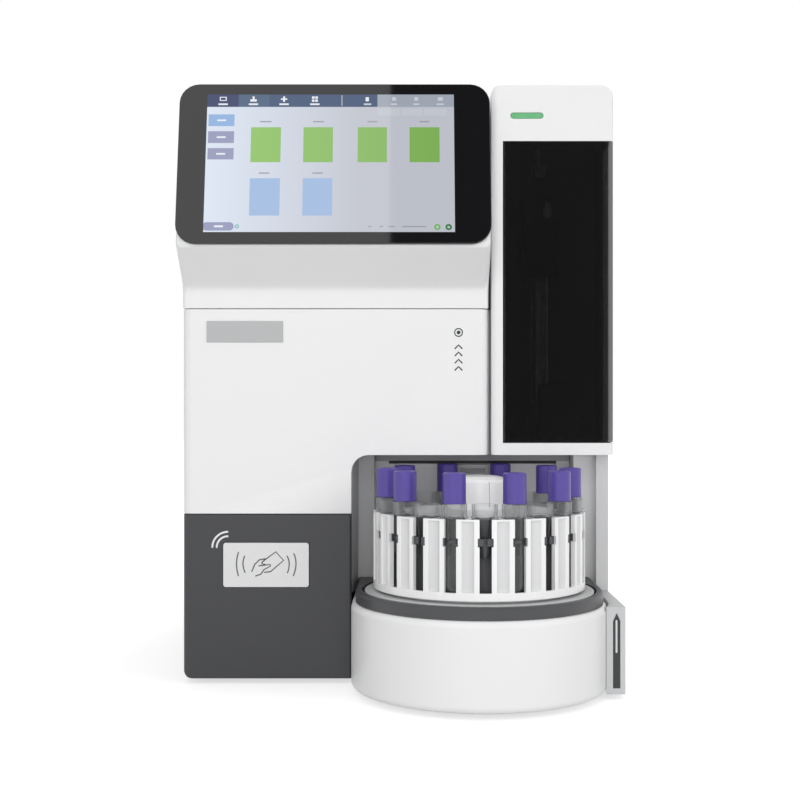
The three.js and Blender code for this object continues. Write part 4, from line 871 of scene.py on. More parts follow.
def makeHub():
    plan = hubPlan
    low, high = box("tray_hub")
    x, y = carouselAxis.xy
    hub = lathed("tray_hub_form", [
        (0, low.z), (plan["radius"], low.z, 0.6), (plan["radius"], high.z - plan["neckDrop"], 2.5),
        (plan["neck"], high.z - plan["neckDrop"] + 3, 2.5),
        (plan["neck"], high.z - plan["dome"] - 1.4, 0.3),
        (plan["neck"] - 0.7, high.z - plan["dome"] - 1.1, 0.2),
        (plan["neck"] - 0.7, high.z - plan["dome"] - 0.5, 0.2),
        (plan["neck"] - 0.2, high.z - plan["dome"], 0.8), (plan["neck"] * 0.62, high.z - 0.8, 12),
        (0, high.z),
    ], (x, y, 0), sides=128, rounding=6)
    line = block(
        "line", (x - plan["lineWidth"] / 2, y - plan["neck"] - 3, high.z - plan["neckDrop"] + 1),
        (x + plan["lineWidth"] / 2, y - plan["lineFrom"], high.z - plan["dome"] - 1.2),
    )
    for index in range(3):
        carved(
            hub, copied(line, "line%d" % index, math.radians(plan["lineTurn"] + 120 * index), carouselAxis)
        )
    bpy.data.objects.remove(line)
    dress(hub, "whiteGloss", "tray_hub")


makeTurntable()
makeTray()
makeHub()
print("carousel made")

# Tube inserts: a clear collar over each pocket, with grey spring fingers and a clip below it
insertPlan = {
    "outer": 9.2, "bore": 7.4, "funnel": 6.9, "fingers": 4, "fingerWidth": 3.4, "clipTop": 122,
    "clipBottom": 116.4, "jaw": 5.1, "tubeJaw": 6.75, "tip": 108, "closedTip": 2.6, "jawOuter": 5.35,
    "closedInner": 1.2, "tubeInner": 4.4, "basketBore": 2.3, "basketTip": 3.1, "basketOuter": 5.4,
    "basketInner": 4.6, "cuffOuter": 7.6,
}


def makeInsert(closed):
    plan = insertPlan
    low, high = box("tube_insert_ring")
    x, y = carouselAxis.x, carouselAxis.y - trayPlan["circle"]
    collar = lathed("collar", [
        (plan["funnel"], low.z + 0.1), (plan["outer"] + 0.6, low.z + 0.1, 0.2),
        (plan["outer"] + 0.6, low.z + 1.1, 0.2), (plan["outer"] - 0.4, low.z + 1.5, 0.4),
        (plan["outer"], high.z, 0.3), (plan["bore"] + 0.4, high.z, 0.3), (plan["bore"], low.z + 3.5, 0.8),
        (plan["funnel"], low.z + 0.1),
    ], (x, y, 0), sides=48, rounding=3)
    fingers = []
    funnel = plan["funnel"]
    reach = plan["jaw"] if closed else plan["tubeJaw"]
    tipReach = plan["closedTip"] if closed else plan["tubeJaw"] + 0.1
    half = plan["fingerWidth"] / 2
    side = filleted([(y - out, z, fillet) for out, z, fillet in [
        (funnel + 0.5, low.z + 0.4, 0), (reach + 0.7, plan["clipTop"] - 1, 1.5),
        (tipReach + 0.7, plan["tip"], 0.3), (tipReach, plan["tip"], 0.3), (reach, plan["clipTop"] - 1, 1.5),
        (funnel - 0.2, low.z + 0.4, 0),
    ]], 3)
    finger = prism("finger", side, x - half, x + half, "X", 0.15, 2)
    for index in range(plan["fingers"]):
        fingers.append(copied(finger, "finger%d" % index, math.radians(45 + 90 * index), Vector((x, y, 0))))
    bpy.data.objects.remove(finger)
    inner = plan["closedInner"] if closed else plan["tubeInner"]
    for side in (-1, 1):
        near, far = sorted((x + side * inner, x + side * plan["jawOuter"]))
        fingers.append(block(
            "jaw", (near, y - trayPlan["pocket"] - 0.15, plan["clipBottom"]),
            (far, y - trayPlan["pocket"] + 2.4, plan["clipTop"] - 0.4), 0.3, 2,
        ))
    top, bottom = plan["clipTop"], plan["clipBottom"]
    if closed:
        basket = [
            (plan["basketBore"], plan["tip"] - 0.5), (plan["basketTip"], plan["tip"] - 0.5, 0.3),
            (plan["basketOuter"], bottom, 0.6), (plan["basketOuter"], top - 0.6, 0.3),
            (plan["basketInner"], top - 0.6, 0.3), (plan["basketInner"], bottom, 0.6),
            (plan["basketBore"], plan["tip"] - 0.5),
        ]
    else:
        grip = tube["radius"] + 0.15
        basket = [
            (grip, bottom + 1.4), (plan["cuffOuter"], bottom + 1.4, 0.3), (plan["cuffOuter"], top - 1.8, 0.3),
            (grip, top - 1.8), (grip, bottom + 1.4),
        ]
    fingers.append(lathed("basket", basket, (x, y, 0), sides=32, rounding=2))
    return collar, joined(fingers, "springs")


def makeInserts():
    collars, springs = [], []
    for closed in (True, False):
        collar, spring = makeInsert(closed)
        for index in range(trayPlan["places"] // 2):
            turn = (2 * index + (0 if closed else 1)) * placeTurn
            collars.append(copied(collar, "collar%d" % index, turn, carouselAxis))
            springs.append(copied(spring, "spring%d" % index, turn, carouselAxis))
        bpy.data.objects.remove(collar)
        bpy.data.objects.remove(spring)
    dress(joined(collars, "insert_collars"), "clearPlastic", "tube_insert_ring")
    dress(joined(springs, "insert_springs"), "springGrey", (), "carousel")


# Capped tubes: 13 x 75 mm glass with a stopper's skirt over the neck
tube = {
    "radius": 6.5, "wall": 1.0, "length": 75, "cap": 8.4, "capHeight": 21.6, "overlap": 12.8, "septum": 1.9,
    "dish": 5.6, "dishFloor": 5.2, "plug": 5.3, "plugLow": 6,
}


def makeTubes():
    bottom = box("sample_tube_01")[0].z
    x, y = carouselAxis.x, carouselAxis.y - trayPlan["circle"]
    radius, inner = tube["radius"], tube["radius"] - tube["wall"]
    top = bottom + tube["length"]
    glass = lathed("glass", [
        (0, bottom), (radius, bottom, radius - 0.02), (radius, top, 0.4), (inner, top, 0.4),
        (inner, bottom + tube["wall"], inner - 0.02), (0, bottom + tube["wall"]),
    ], (x, y, 0), sides=48, rounding=10)
    capLow = top - tube["overlap"]
    capTop, plugLow = capLow + tube["capHeight"], capLow + tube["plugLow"]
    cap = lathed("cap", [
        (radius + 0.2, capLow), (tube["cap"], capLow, 0.5), (tube["cap"], capLow + 1.2, 0.2),
        (tube["cap"] - 0.12, capLow + 1.5, 0.2), (tube["cap"] - 0.2, capTop, 1.1),
        (tube["dish"], capTop, 0.5), (tube["dishFloor"], capTop - 1.6, 0.4),
        (tube["septum"], capTop - 1.3, 0.3), (tube["septum"], plugLow, 0.3), (tube["plug"], plugLow),
        (tube["plug"], top), (radius + 0.2, top), (radius + 0.2, capLow),
    ], (x, y, 0), sides=64, rounding=4)
    for index in range(10):
        node = "sample_tube_%02d" % (index + 1)
        turn = (2 * index + 1) * placeTurn
        dress(
            copied(glass, "tube_glass_%02d" % (index + 1), turn, carouselAxis), "tubeGlass", node,
        )
        dress(copied(cap, "tube_cap_%02d" % (index + 1), turn, carouselAxis), "capPurple", node)
    bpy.data.objects.remove(glass)
    bpy.data.objects.remove(cap)


makeInserts()
makeTubes()
print("inserts and tubes made")

# Printed marks: strokes a tenth of a millimetre proud, placed by pixels of the photograph
def bowed(first, middle, last, steps=10):
    # a curve through three points
    first, middle, last = Vector(first), Vector(middle), Vector(last)
    pull = middle * 2 - (first + last) / 2
    shares = [step / steps for step in range(steps + 1)]
    return [first * (1 - t) ** 2 + pull * 2 * t * (1 - t) + last * t ** 2 for t in shares]


def arc(centre, radius, start, end, steps=16):
    turns = [math.radians(start + (end - start) * step / steps) for step in range(steps + 1)]
    return [Vector((centre[0] + radius * math.cos(t), centre[1] - radius * math.sin(t))) for t in turns]


def stroke(name, pixels, width, face, ends=8):
    # a ribbon with round ends along pixels of the photograph, standing proud of the plane y = face
    points = [seenAt(x, y, face) for x, y in pixels]
    points = [Vector((point.x, point.z)) for point in points]
    half = width / 2
    left, right, along = [], [], []
    for index, here in enumerate(points):
        before = points[max(index - 1, 0)]
        after = points[min(index + 1, len(points) - 1)]
        way = ((here - before).normalized() + (after - here).normalized()).normalized()
        along.append(way * half)
        left.append(here + Vector((-way.y, way.x)) * half)
        right.append(here - Vector((-way.y, way.x)) * half)
    turns = [math.pi * step / ends for step in range(1, ends)]
    tip = [points[-1] + (left[-1] - points[-1]) * math.cos(t) + along[-1] * math.sin(t) for t in turns]
    tail = [points[0] + (right[0] - points[0]) * math.cos(t) - along[0] * math.sin(t) for t in turns]
    return prism(name, left + tip + right[::-1] + tail, face - inkProud, face + inkProud, "Y")


readerPlan = {
    "stroke": 0.95,
    "waves": [
        ((238.4, 552.5), (236.5, 563.9), (238.4, 575.6)), ((244.6, 556.2), (243, 563.9), (245, 572.3)),
        ((287.2, 556.2), (289.2, 563.9), (287.5, 572.7)), ((293.8, 553.6), (296, 563.9), (293.4, 575.6)),
    ],
    "card": [(262.6, 561.6), (275.8, 551.8), (283.6, 560.4), (270.6, 571.6), (264.6, 572.3)],
    "hand": [(251.8, 571.4), (255, 564), (259.8, 559.6), (265.2, 558.9)],
    "finger": [(262.6, 561.6), (261.6, 563.6), (264.8, 564.4)],
    "thumb": [(259, 565.8), (270, 564.5), (270.6, 566), (264, 569.6), (260.8, 574.2), (255.8, 576)],
    "radioCentre": (228, 547.5), "radioRadii": (15.7, 11.3), "radioFrom": 92, "radioTo": 178,
    "radioStroke": 1.4,
}


def makeReaderMarks():
    plan = readerPlan
    face = box("card_reader_window")[0].y
    marks = [stroke("wave", bowed(*ends), plan["stroke"], face) for ends in plan["waves"]]
    marks += [stroke(name, plan[name], plan["stroke"], face) for name in ("card", "hand", "finger", "thumb")]
    dress(joined(marks, "reader_marks"), "greyInk", (), "cabinet")
    face = box("base_cabinet")[0].y
    arcs = [
        stroke(
            "radio", arc(plan["radioCentre"], radius, plan["radioFrom"], plan["radioTo"]),
            plan["radioStroke"], face,
        )
        for radius in plan["radioRadii"]
    ]
    dress(joined(arcs, "radio_marks"), "whiteInk", (), "cabinet")


# Front door: a bare raised plate, and a ring with arrows where the door is pressed
doorPlan = {
    "plate": ((206.7, 321), (283.2, 342.3)), "plateProud": 1.1, "plateEdge": 0.45, "ring": (458.56, 332.45),
    "ringRadius": 3.9, "ringStroke": 0.85, "dot": 1.46, "arrowX": (455.2, 458.56, 461.9), "arrowTop": 345,
    "arrowStep": 7.2, "arrowRise": 3.4, "arrowStroke": 1.1, "arrows": 4,
}


def makeDoorMarks():
    plan = doorPlan
    face = box("front_door")[0].y
    first, last = [seenAt(x, y, face) for x, y in plan["plate"]]
    plate = block(
        "door_plate", (first.x, face - plan["plateProud"], last.z), (last.x, face + 0.3, first.z),
        plan["plateEdge"], 3,
    )
    dress(plate, "plateAndShadeGrey", (), "front_door")
    marks = [
        stroke("ring", arc(plan["ring"], plan["ringRadius"], 90, 269), plan["ringStroke"], face),
        stroke("ring", arc(plan["ring"], plan["ringRadius"], 270, 449), plan["ringStroke"], face),
    ]
    centre = seenAt(*plan["ring"], face)
    dot = rod("dot", plan["dot"], (centre.x, centre.z), face - inkProud, face + inkProud, "Y", 32)
    marks.append(dot)
    left, tip, right = plan["arrowX"]
    for index in range(plan["arrows"]):
        y = plan["arrowTop"] + index * plan["arrowStep"]
        points = [(left, y + plan["arrowRise"]), (tip, y), (right, y + plan["arrowRise"])]
        marks.append(stroke("arrow", points, plan["arrowStroke"], face))
    dress(joined(marks, "press_marks"), "markInk", (), "front_door")


# Side pod: a dark level strip with a pointed top, let into its slot
stripPlan = {
    "left": 156.15, "right": 161.25, "bottom": 8.5, "shoulder": 57, "tip": 62.8, "sunk": 0.15, "depth": 0.7,
}
linePlan = {"x": 616.5, "top": 621, "bottom": 652, "width": 1.3}


def makePodStrip():
    plan = stripPlan
    face = box("side_pod")[0].y + plan["sunk"]
    middleX = (plan["left"] + plan["right"]) / 2
    points = filleted([
        (plan["left"], plan["bottom"], 0.2), (plan["right"], plan["bottom"], 0.2),
        (plan["right"], plan["shoulder"], 0.2), (middleX, plan["tip"], 0.3),
        (plan["left"], plan["shoulder"], 0.2),
    ], 3)
    dress(
        prism("pod_strip", points, face, face + plan["depth"] - plan["sunk"], "Y"), "stripInk", (),
        "cabinet",
    )
    line = stroke(
        "pod_line", [(linePlan["x"], linePlan["top"]), (linePlan["x"], linePlan["bottom"])],
        linePlan["width"], face,
    )
    dress(line, "lineInk", (), "cabinet")
    repaint(panels["side_pod"], "whitePlastic", lambda centre, normal: normal.x > 0.5)


makeReaderMarks()
makeDoorMarks()
makePodStrip()
print("marks made")

# Separation module: column between hex nuts, injection valve with its ports
columnPlan = {
    "barrel": 4.8, "nut": 6.58, "nutLength": 11, "capillary": 1.6, "capillaryLength": 5, "cuff": 5.5,
    "cuffLength": 3,
}
valvePlan = {
    "drive": 17, "driveFront": -31, "stator": 13, "statorFront": -45, "port": 2.4, "portReach": 8.5,
    "portFront": -50, "portBack": -44, "ports": 6, "screw": 1.7, "screws": 3, "screwCircle": 3.4,
    "portTip": 1.1,
}


def hexagon(u, v, radius, sides=6):
    turns = [2 * math.pi * step / sides for step in range(sides)]
    return [(u + radius * math.cos(t), v + radius * math.sin(t)) for t in turns]


def makeColumn():
    plan = columnPlan
    low, high = box("column")
    centre = middle("column")
    start, end = low.x + plan["capillaryLength"], high.x - plan["capillaryLength"]
    nut, cuff = plan["nutLength"], plan["cuffLength"]
    barrel = lathed("barrel", [
        (0, start + nut - 1), (plan["barrel"], start + nut - 1), (plan["barrel"], start + nut + 1.5, 0.3),
        (plan["cuff"], start + nut + 2, 0.4), (plan["cuff"], start + nut + 2 + cuff, 0.4),
        (plan["barrel"], start + nut + 2.5 + cuff, 0.3), (plan["barrel"], end - nut - 2.5 - cuff, 0.3),
        (plan["cuff"], end - nut - 2 - cuff, 0.4), (plan["cuff"], end - nut - 2, 0.4),
        (plan["barrel"], end - nut - 1.5, 0.3), (plan["barrel"], end - nut + 1), (0, end - nut + 1),
    ], (0, centre.y, centre.z), "X", 48)
    parts = [barrel]
    for first in (start, end - nut):
        parts.append(prism("nut", hexagon(centre.y, centre.z, plan["nut"]), first, first + nut, "X", 0.5))
    for first, last in ((low.x, start + 1), (end - 1, high.x)):
        parts.append(rod("capillary", plan["capillary"], (centre.y, centre.z), first, last, "X", 24, 0.2))
    dress(joined(parts, "column_form"), "steelAcross", "column")


def makeValve():
    plan = valvePlan
    back = box("injection_valve")[1].y
    centre = middle("injection_valve")
    body = lathed("valve", [
        (0, plan["statorFront"]), (plan["stator"], plan["statorFront"], 0.8),
        (plan["stator"], plan["driveFront"] + 0.5, 0.4), (plan["drive"], plan["driveFront"] + 0.5, 1.2),
        (plan["drive"], back, 1), (0, back),
    ], (centre.x, 0, centre.z), "Y", 64)
    parts = [body]

    def ring(count, reach, start=0):
        # places spread evenly round the valve's axis
        turns = [math.radians(start + 360 * index / count) for index in range(count)]
        return [(centre.x + reach * math.cos(turn), centre.z + reach * math.sin(turn)) for turn in turns]

    for u, v in ring(plan["ports"], plan["portReach"]):
        nut = hexagon(u, v, plan["port"])
        parts.append(prism("port", nut, plan["portFront"] + 1.5, plan["portBack"], "Y", 0.25, 2))
        parts.append(
            rod("tip", plan["portTip"], (u, v), plan["portFront"], plan["portFront"] + 2, "Y", 20, 0.2)
        )
    face = plan["statorFront"]
    for place in ring(plan["screws"], plan["screwCircle"], 90):
        parts.append(rod("screw", plan["screw"], place, face - 0.9, face + 1, "Y", 24, 0.3))
    valve = dress(joined(parts, "injection_valve_form"), "castAluminium", "injection_valve")
    inner = plan["portReach"] - plan["port"] - 0.5

    def isPort(spot, normal):
        return spot.y < face and math.hypot(spot.x - centre.x, spot.z - centre.z) > inner
    repaint(valve, "nylon", isPort)


makeColumn()
makeValve()
print("separation module made")

# Needle, lead screw, hinge pins and latch
needlePlan = {"radius": 1.1, "tip": 4, "hub": 4, "hubLow": 359.4, "hubHigh": 368.4, "barb": 2.2, "flat": 3.3}
screwPlan = {"outer": 3.5, "root": 2.9, "pitch": 2.5, "journal": 2.9, "journalLength": 10, "steps": 16}


def makeNeedle():
    plan = needlePlan
    low, high = box("sampling_needle")
    seat, top, barb = plan["hubLow"], plan["hubHigh"], plan["barb"]
    turned("sampling_needle", [
        (0, low.z), (0.3, low.z + 0.4), (plan["radius"], low.z + plan["tip"], 0.5), (plan["radius"], seat),
        (plan["flat"], seat, 0.4), (plan["hub"], seat + 1.5, 0.3), (plan["hub"], top - 1, 0.5),
        (barb + 0.6, top, 0.3), (barb, top + 0.6, 0.3), (barb, high.z, 0.4), (0, high.z),
    ], "steel")


def makeLeadScrew():
    # a thread profile swept up the screw by the Screw modifier, between plain journals
    plan = screwPlan
    low, high = box("lead_screw")
    x, y = middle("lead_screw").xy
    start, end = low.z + plan["journalLength"], high.z - plan["journalLength"]
    turns = int((end - start) / plan["pitch"]) - 1
    bpy.ops.mesh.primitive_circle_add(vertices=4, radius=1)
    thread = added("thread")
    quarter = plan["pitch"] / 4
    points = [
        (plan["root"], 0), (plan["outer"], quarter), (plan["outer"], 2 * quarter),
        (plan["root"], 3 * quarter),
    ]
    for vertex, (out, rise) in zip(thread.data.vertices, points):
        vertex.co = (out, 0, rise)
    modifier = thread.modifiers.new("thread", "SCREW")
    modifier.axis = "Z"
    modifier.screw_offset = plan["pitch"]
    modifier.iterations = turns
    modifier.steps = plan["steps"]
    modifier.render_steps = plan["steps"]
    applied(thread)
    thread.location = (x, y, start)
    settle(thread)
    outward(thread)
    core = lathed("core", [
        (0, low.z), (plan["journal"], low.z, 0.5), (plan["journal"], start - 1, 0.2),
        (plan["root"] + 0.05, start, 0.2), (plan["root"] + 0.05, end, 0.2), (plan["journal"], end + 1, 0.2),
        (plan["journal"], high.z, 0.5), (0, high.z),
    ], (x, y, 0), sides=32, rounding=3)
    dress(joined([core, thread], "lead_screw_form"), "steel", "lead_screw")


# hinge pins: radius, how far down the clip's groove starts, and chamfer
pinPlan = {"door_hinge_pin": (1.6, 2, 0.35), "window_hinge_pin": (1.2, 1.6, 0.3)}


def makePin(node, radius, groove, chamfer):
    low, high = box(node)
    neck, clip = radius - chamfer, high.z - groove * 0.6
    turned(node, [
        (0, low.z), (neck, low.z), (radius, low.z + chamfer), (radius, high.z - groove),
        (neck, high.z - groove), (neck, clip), (radius, clip), (radius, high.z - chamfer), (neck, high.z),
        (0, high.z),
    ], "steel")


def makeLatch():
    low, high = box("latch_plunger")
    radius = (high.x - low.x) / 2
    turned("latch_plunger", [
        (0, low.y), (radius - 0.6, low.y, 0.6), (radius - 0.6, low.y + 1.5, 0.2), (radius, low.y + 1.9, 0.3),
        (radius, high.y - 4, 0.3), (radius - 0.7, high.y - 3.6, 0.2), (radius - 0.7, high.y - 2, 0.2),
        (radius, high.y - 1.6, 0.3), (radius, high.y, 0.4), (0, high.y),
    ], "blackPlastic", "Y")


def makeFoot(node):
    # a rubber foot: a ribbed skirt that widens to the cabinet, and a sunk screw
    low, high = box(node)
    radius = (high.x - low.x) / 2
    turned(node, [
        (0, low.z + 1.6), (2.6, low.z + 1.6, 0.2), (3, low.z, 0.4), (radius - 1.5, low.z, 0.7),
        (radius - 0.9, low.z + 1.4, 0.2), (radius - 1.2, low.z + 1.7, 0.1), (radius - 0.7, low.z + 2, 0.1),
        (radius, high.z - 0.6, 0.2), (radius, high.z, 0.2), (0, high.z),
    ], "rubber", sides=48)


makeNeedle()
makeLeadScrew()
for node, plan in pinPlan.items():
    makePin(node, *plan)
makeLatch()
for node in sorted(frame["nodes"]):
    if "foot" in node:
        makeFoot(node)
print("needle, screw, pins and feet made")

# Rear side: barbed drain, fasteners, inlet pins and port contacts
wastePlan = {"stem": 4, "flange": 8, "barb": 4, "barbLength": 7, "tipRadius": 2.7, "bore": 1.8}
rearPlan = {
    "head": 3.1, "rise": 1.5, "inset": 7, "slotWidth": 0.9, "slotDepth": 0.8, "guardReach": 19,
    "guardHead": 2.4,
}


def makeWaste():
    plan = wastePlan
    low, high = box("waste_fitting")
    start = high.y - plan["barbLength"]
    stem, flange, barb, groove = plan["stem"], plan["flange"], plan["barb"], plan["barb"] - 0.9
    turned("waste_fitting", [
        (plan["bore"], low.y), (stem, low.y, 0.4), (stem, start - 2), (flange, start - 2, 0.4),
        (flange, start, 0.4), (stem - 0.9, start, 0.3), (groove, start + 1.2, 0.2),
        (barb, start + 1.3, 0.1), (groove, start + 3.2, 0.2), (barb - 0.2, start + 3.4, 0.1),
        (plan["tipRadius"], high.y, 0.3), (plan["bore"], high.y), (plan["bore"], low.y),
    ], "nylon", "Y", 48)


def screwHead(name, place, face, radius):
    # a pan head with a cross recess, on the plane y = face
    plan = rearPlan
    head = lathed(name, [
        (0, face - 0.4), (radius, face - 0.4), (radius, face + plan["rise"] * 0.45, 0.6),
        (radius * 0.5, face + plan["rise"], 1), (0, face + plan["rise"]),
    ], (place[0], 0, place[1]), "Y", 32, 4)
    arm, half = radius * 0.62, plan["slotWidth"] / 2
    for across, tall in ((arm, half), (half, arm)):
        carved(head, block(
            "slot", (place[0] - across, face + plan["rise"] - plan["slotDepth"], place[1] - tall),
            (place[0] + across, face + plan["rise"] + 2, place[1] + tall),
        ))
    return head


def makeFasteners():
    plan = rearPlan
    low, high = box("rear_panel")
    inset = plan["inset"]
    xs = (low.x + inset, high.x - inset)
    zs = [low.z + inset + (high.z - low.z - 2 * inset) * share for share in (0, 1 / 3, 2 / 3, 1)]
    heads = [screwHead("head", (x, z), high.y, plan["head"]) for x in xs for z in zs]
    dress(joined(heads, "rear_screws"), "steel", (), "cabinet")
    centre = middle("fan_guard")
    face = box("fan_guard")[1].y
    reach = plan["guardReach"]
    heads = [
        screwHead("head", (centre.x + across * reach, centre.z + up * reach), face, plan["guardHead"])
        for across in (-1, 1) for up in (-1, 1)
    ]
    dress(joined(heads, "guard_screws"), "steel", (), "cabinet")


inletPlan = {
    "pinX": (-7, 0, 7), "pinRise": (-1.5, 2.2, -1.5), "pinWidth": 2, "pinHeight": 4, "back": 193.4,
    "front": 203.5, "z": 196.5,
}
portPlan = {
    "usb": (20, 36), "tongueWidth": 10.4, "tongueHeight": 1.5, "back": 197.4, "front": 206.4, "z": 190,
    "network": 4, "contacts": 8, "contactPitch": 1.05, "contactWidth": 0.45, "contactLow": 192.6,
    "contactHigh": 193.1, "contactFront": 203.4,
}


def makeContacts():
    plan = inletPlan
    x = middle("power_inlet").x
    pins = [
        block(
            "pin", (x + across - plan["pinWidth"] / 2, plan["back"], plan["z"] + up - plan["pinHeight"] / 2),
            (x + across + plan["pinWidth"] / 2, plan["front"], plan["z"] + up + plan["pinHeight"] / 2), 0.5,
        )
        for across, up in zip(plan["pinX"], plan["pinRise"])
    ]
    dress(joined(pins, "inlet_pins"), "steel", (), "cabinet")
    plan = portPlan
    tongues = [
        block(
            "tongue", (x - plan["tongueWidth"] / 2, plan["back"], plan["z"]),
            (x + plan["tongueWidth"] / 2, plan["front"], plan["z"] + plan["tongueHeight"]), 0.2,
        )
        for x in plan["usb"]
    ]
    dress(joined(tongues, "port_tongues"), "whitePlastic", (), "cabinet")
    contacts = []
    for index in range(plan["contacts"]):
        x = plan["network"] + (index - (plan["contacts"] - 1) / 2) * plan["contactPitch"]
        contacts.append(block(
            "contact", (x - plan["contactWidth"] / 2, plan["back"], plan["contactLow"]),
            (x + plan["contactWidth"] / 2, plan["contactFront"], plan["contactHigh"]), 0.1, 2,
        ))
    dress(joined(contacts, "network_contacts"), "brass", (), "cabinet")


makeWaste()
makeFasteners()
makeContacts()
print("rear side made")

# Display glass: black cover glass whose clear field shows the screen
screenPlan = {
    "width": 186.5, "height": 109.5, "lift": 8.9, "left": -144.3, "corner": 15, "edge": 0.6, "tilt": 12,
    "thickness": 3, "rough": 0.035, "glow": 0.92,
}
tilt = math.radians(screenPlan["tilt"])
inkPlan = {
    "cover": (0.009, 0.009, 0.01), "left": (0.73, 0.80, 0.92), "right": (0.54, 0.56, 0.625),
    "slate": (0.035, 0.075, 0.17), "navy": (0.012, 0.028, 0.12), "tab": (0.055, 0.105, 0.2),
    "faded": (0.36, 0.40, 0.47), "white": (0.85, 0.88, 0.93), "dim": (0.6, 0.63, 0.68),
    "pale": (0.62, 0.65, 0.7), "tag": (0.57, 0.6, 0.66), "text": (0.34, 0.35, 0.38),
    "greenLeft": (0.29, 0.58, 0.125), "greenRight": (0.21, 0.44, 0.095), "sky": (0.355, 0.51, 0.76),
    "blue": (0.27, 0.45, 0.75), "button": (0.30, 0.32, 0.50), "teal": (0.12, 0.45, 0.45),
    "leaf": (0.16, 0.5, 0.1), "forest": (0.03, 0.2, 0.05),
}
sampleBlocks = [(0.18, 0.301), (0.392, 0.511), (0.611, 0.729), (0.82, 0.941)]
# what the screen shows, in shares of its field: an ink and its spans across and down, or for a round
# mark an ink, its middle, and its hole and radius in millimetres
screenMarks = [
    ("slate", [(0, 1)], [(-0.1, 0.092)]),
    ("navy", [(-0.1, 0.127)], [(-0.1, 0.092)]),
    ("tab", [(0.127, 0.25)], [(-0.1, 0.092)]),
    ("faded", [(0.69, 1.1)], [(-0.1, 0.092)]),
    ("white", [(0.545, 0.547)], [(0.005, 0.085)]),
    ("white", [(0.045, 0.083), (0.168, 0.206), (0.292, 0.330), (0.417, 0.455)], [(0.066, 0.078)]),
    ("dim", [(0.635, 0.665), (0.745, 0.77), (0.835, 0.86), (0.93, 0.96)], [(0.066, 0.078)]),
    # generic icons: a framed screen, a flask, a cross, four squares, an arrow
    ("white", [(0.05, 0.078)], [(0.017, 0.047)]),
    ("navy", [(0.054, 0.074)], [(0.023, 0.041)]),
    ("white", [(0.183, 0.191)], [(0.014, 0.052)]),
    ("white", [(0.174, 0.2)], [(0.036, 0.052)]),
    ("white", [(0.307, 0.315)], [(0.014, 0.054)]),
    ("white", [(0.298, 0.324)], [(0.029, 0.039)]),
    ("white", [(0.424, 0.4345), (0.4375, 0.448)], [(0.014, 0.031), (0.037, 0.054)]),
    ("white", [(0.642, 0.650), (0.650, 0.655)], [(0.02, 0.05)]),
    ("pale", [(0.750, 0.765), (0.84, 0.855), (0.935, 0.955)], [(0.02, 0.045)]),
    # titles, sample blocks, buttons and the bottom line
    ("tag", [(0.69, 0.78), (0.79, 0.87), (0.88, 0.97)], [(0.105, 0.155)]),
    ("text", [(0.215, 0.262), (0.43, 0.475), (0.65, 0.69), (0.86, 0.9)], [(0.196, 0.206)]),
    ("text", [(0.215, 0.258), (0.43, 0.472)], [(0.572, 0.582)]),
    ("green", sampleBlocks, [(0.242, 0.498)]),
    ("sky", sampleBlocks[:2], [(0.614, 0.883)]),
    ("blue", [(0.007, 0.112)], [(0.147, 0.234)]),
    ("button", [(0.007, 0.112)], [(0.271, 0.358), (0.395, 0.478)]),
    ("white", [(0.042, 0.078)], [(0.185, 0.197), (0.309, 0.321), (0.431, 0.443)]),
    ("button", [(0.012, 0.105)], [(0.93, 0.99)]),
    ("button", (0.012, 0.96), 0.0, 3.3),
    ("button", (0.103, 0.96), 0.0, 3.3),
    ("white", [(0.042, 0.078)], [(0.953, 0.966)]),
    ("teal", (0.133, 0.96), 0.8, 1.6),
    ("leaf", (0.93, 0.965), 1.1, 2.4),
    ("forest", (0.975, 0.965), 1.0, 2.4),
    ("text", [(0.655, 0.668), (0.70, 0.715), (0.735, 0.76), (0.79, 0.885)], [(0.957, 0.965)]),
]


def makeScreenPaint(origin):
    # u runs across and v down the lit field, each from 0 to 1
    plan = screenPlan
    paint = Paint("screenGlass")
    x = paint.node("ShaderNodeSeparateXYZ", {}, [paint.node("ShaderNodeTexCoord", output="Object")])
    y, z = [Signal(paint, x.socket.node.outputs[index]) for index in (1, 2)]
    u = (x - plan["left"] * mm) / (plan["width"] * mm)
    slope = (z - origin.z * mm) * math.cos(tilt) + (y - origin.y * mm) * math.sin(tilt)
    v = 1 - (slope - plan["lift"] * mm) / (plan["height"] * mm)
    inks = {name: tint(colour) for name, colour in inkPlan.items()}
    inks["green"] = paint.blend(u, inks["greenLeft"], inks["greenRight"])

    def within(signal, spans):
        return sum((signal.between(a, b) for a, b in spans[1:]), signal.between(*spans[0]))

    def roundMark(centre, hole, radius):
        across, down = (u - centre[0]) * plan["width"], (v - centre[1]) * plan["height"]
        return (across * across + down * down).maths("SQRT").between(hole, radius)

    layer = paint.blend(u * 1.6, inks["left"], inks["right"])
    for ink, *place in screenMarks:
        share = roundMark(*place) if len(place) == 3 else within(u, place[0]) * within(v, place[1])
        layer = paint.blend(share, layer, inks[ink])
    lit = paint.blend(u.between(0, 1) * v.between(0, 1), [0, 0, 0, 1], layer)
    paint.set(
        Base_Color=inks["cover"], Roughness=plan["rough"], Emission_Color=lit, Emission_Strength=plan["glow"],
    )
    return paint.material


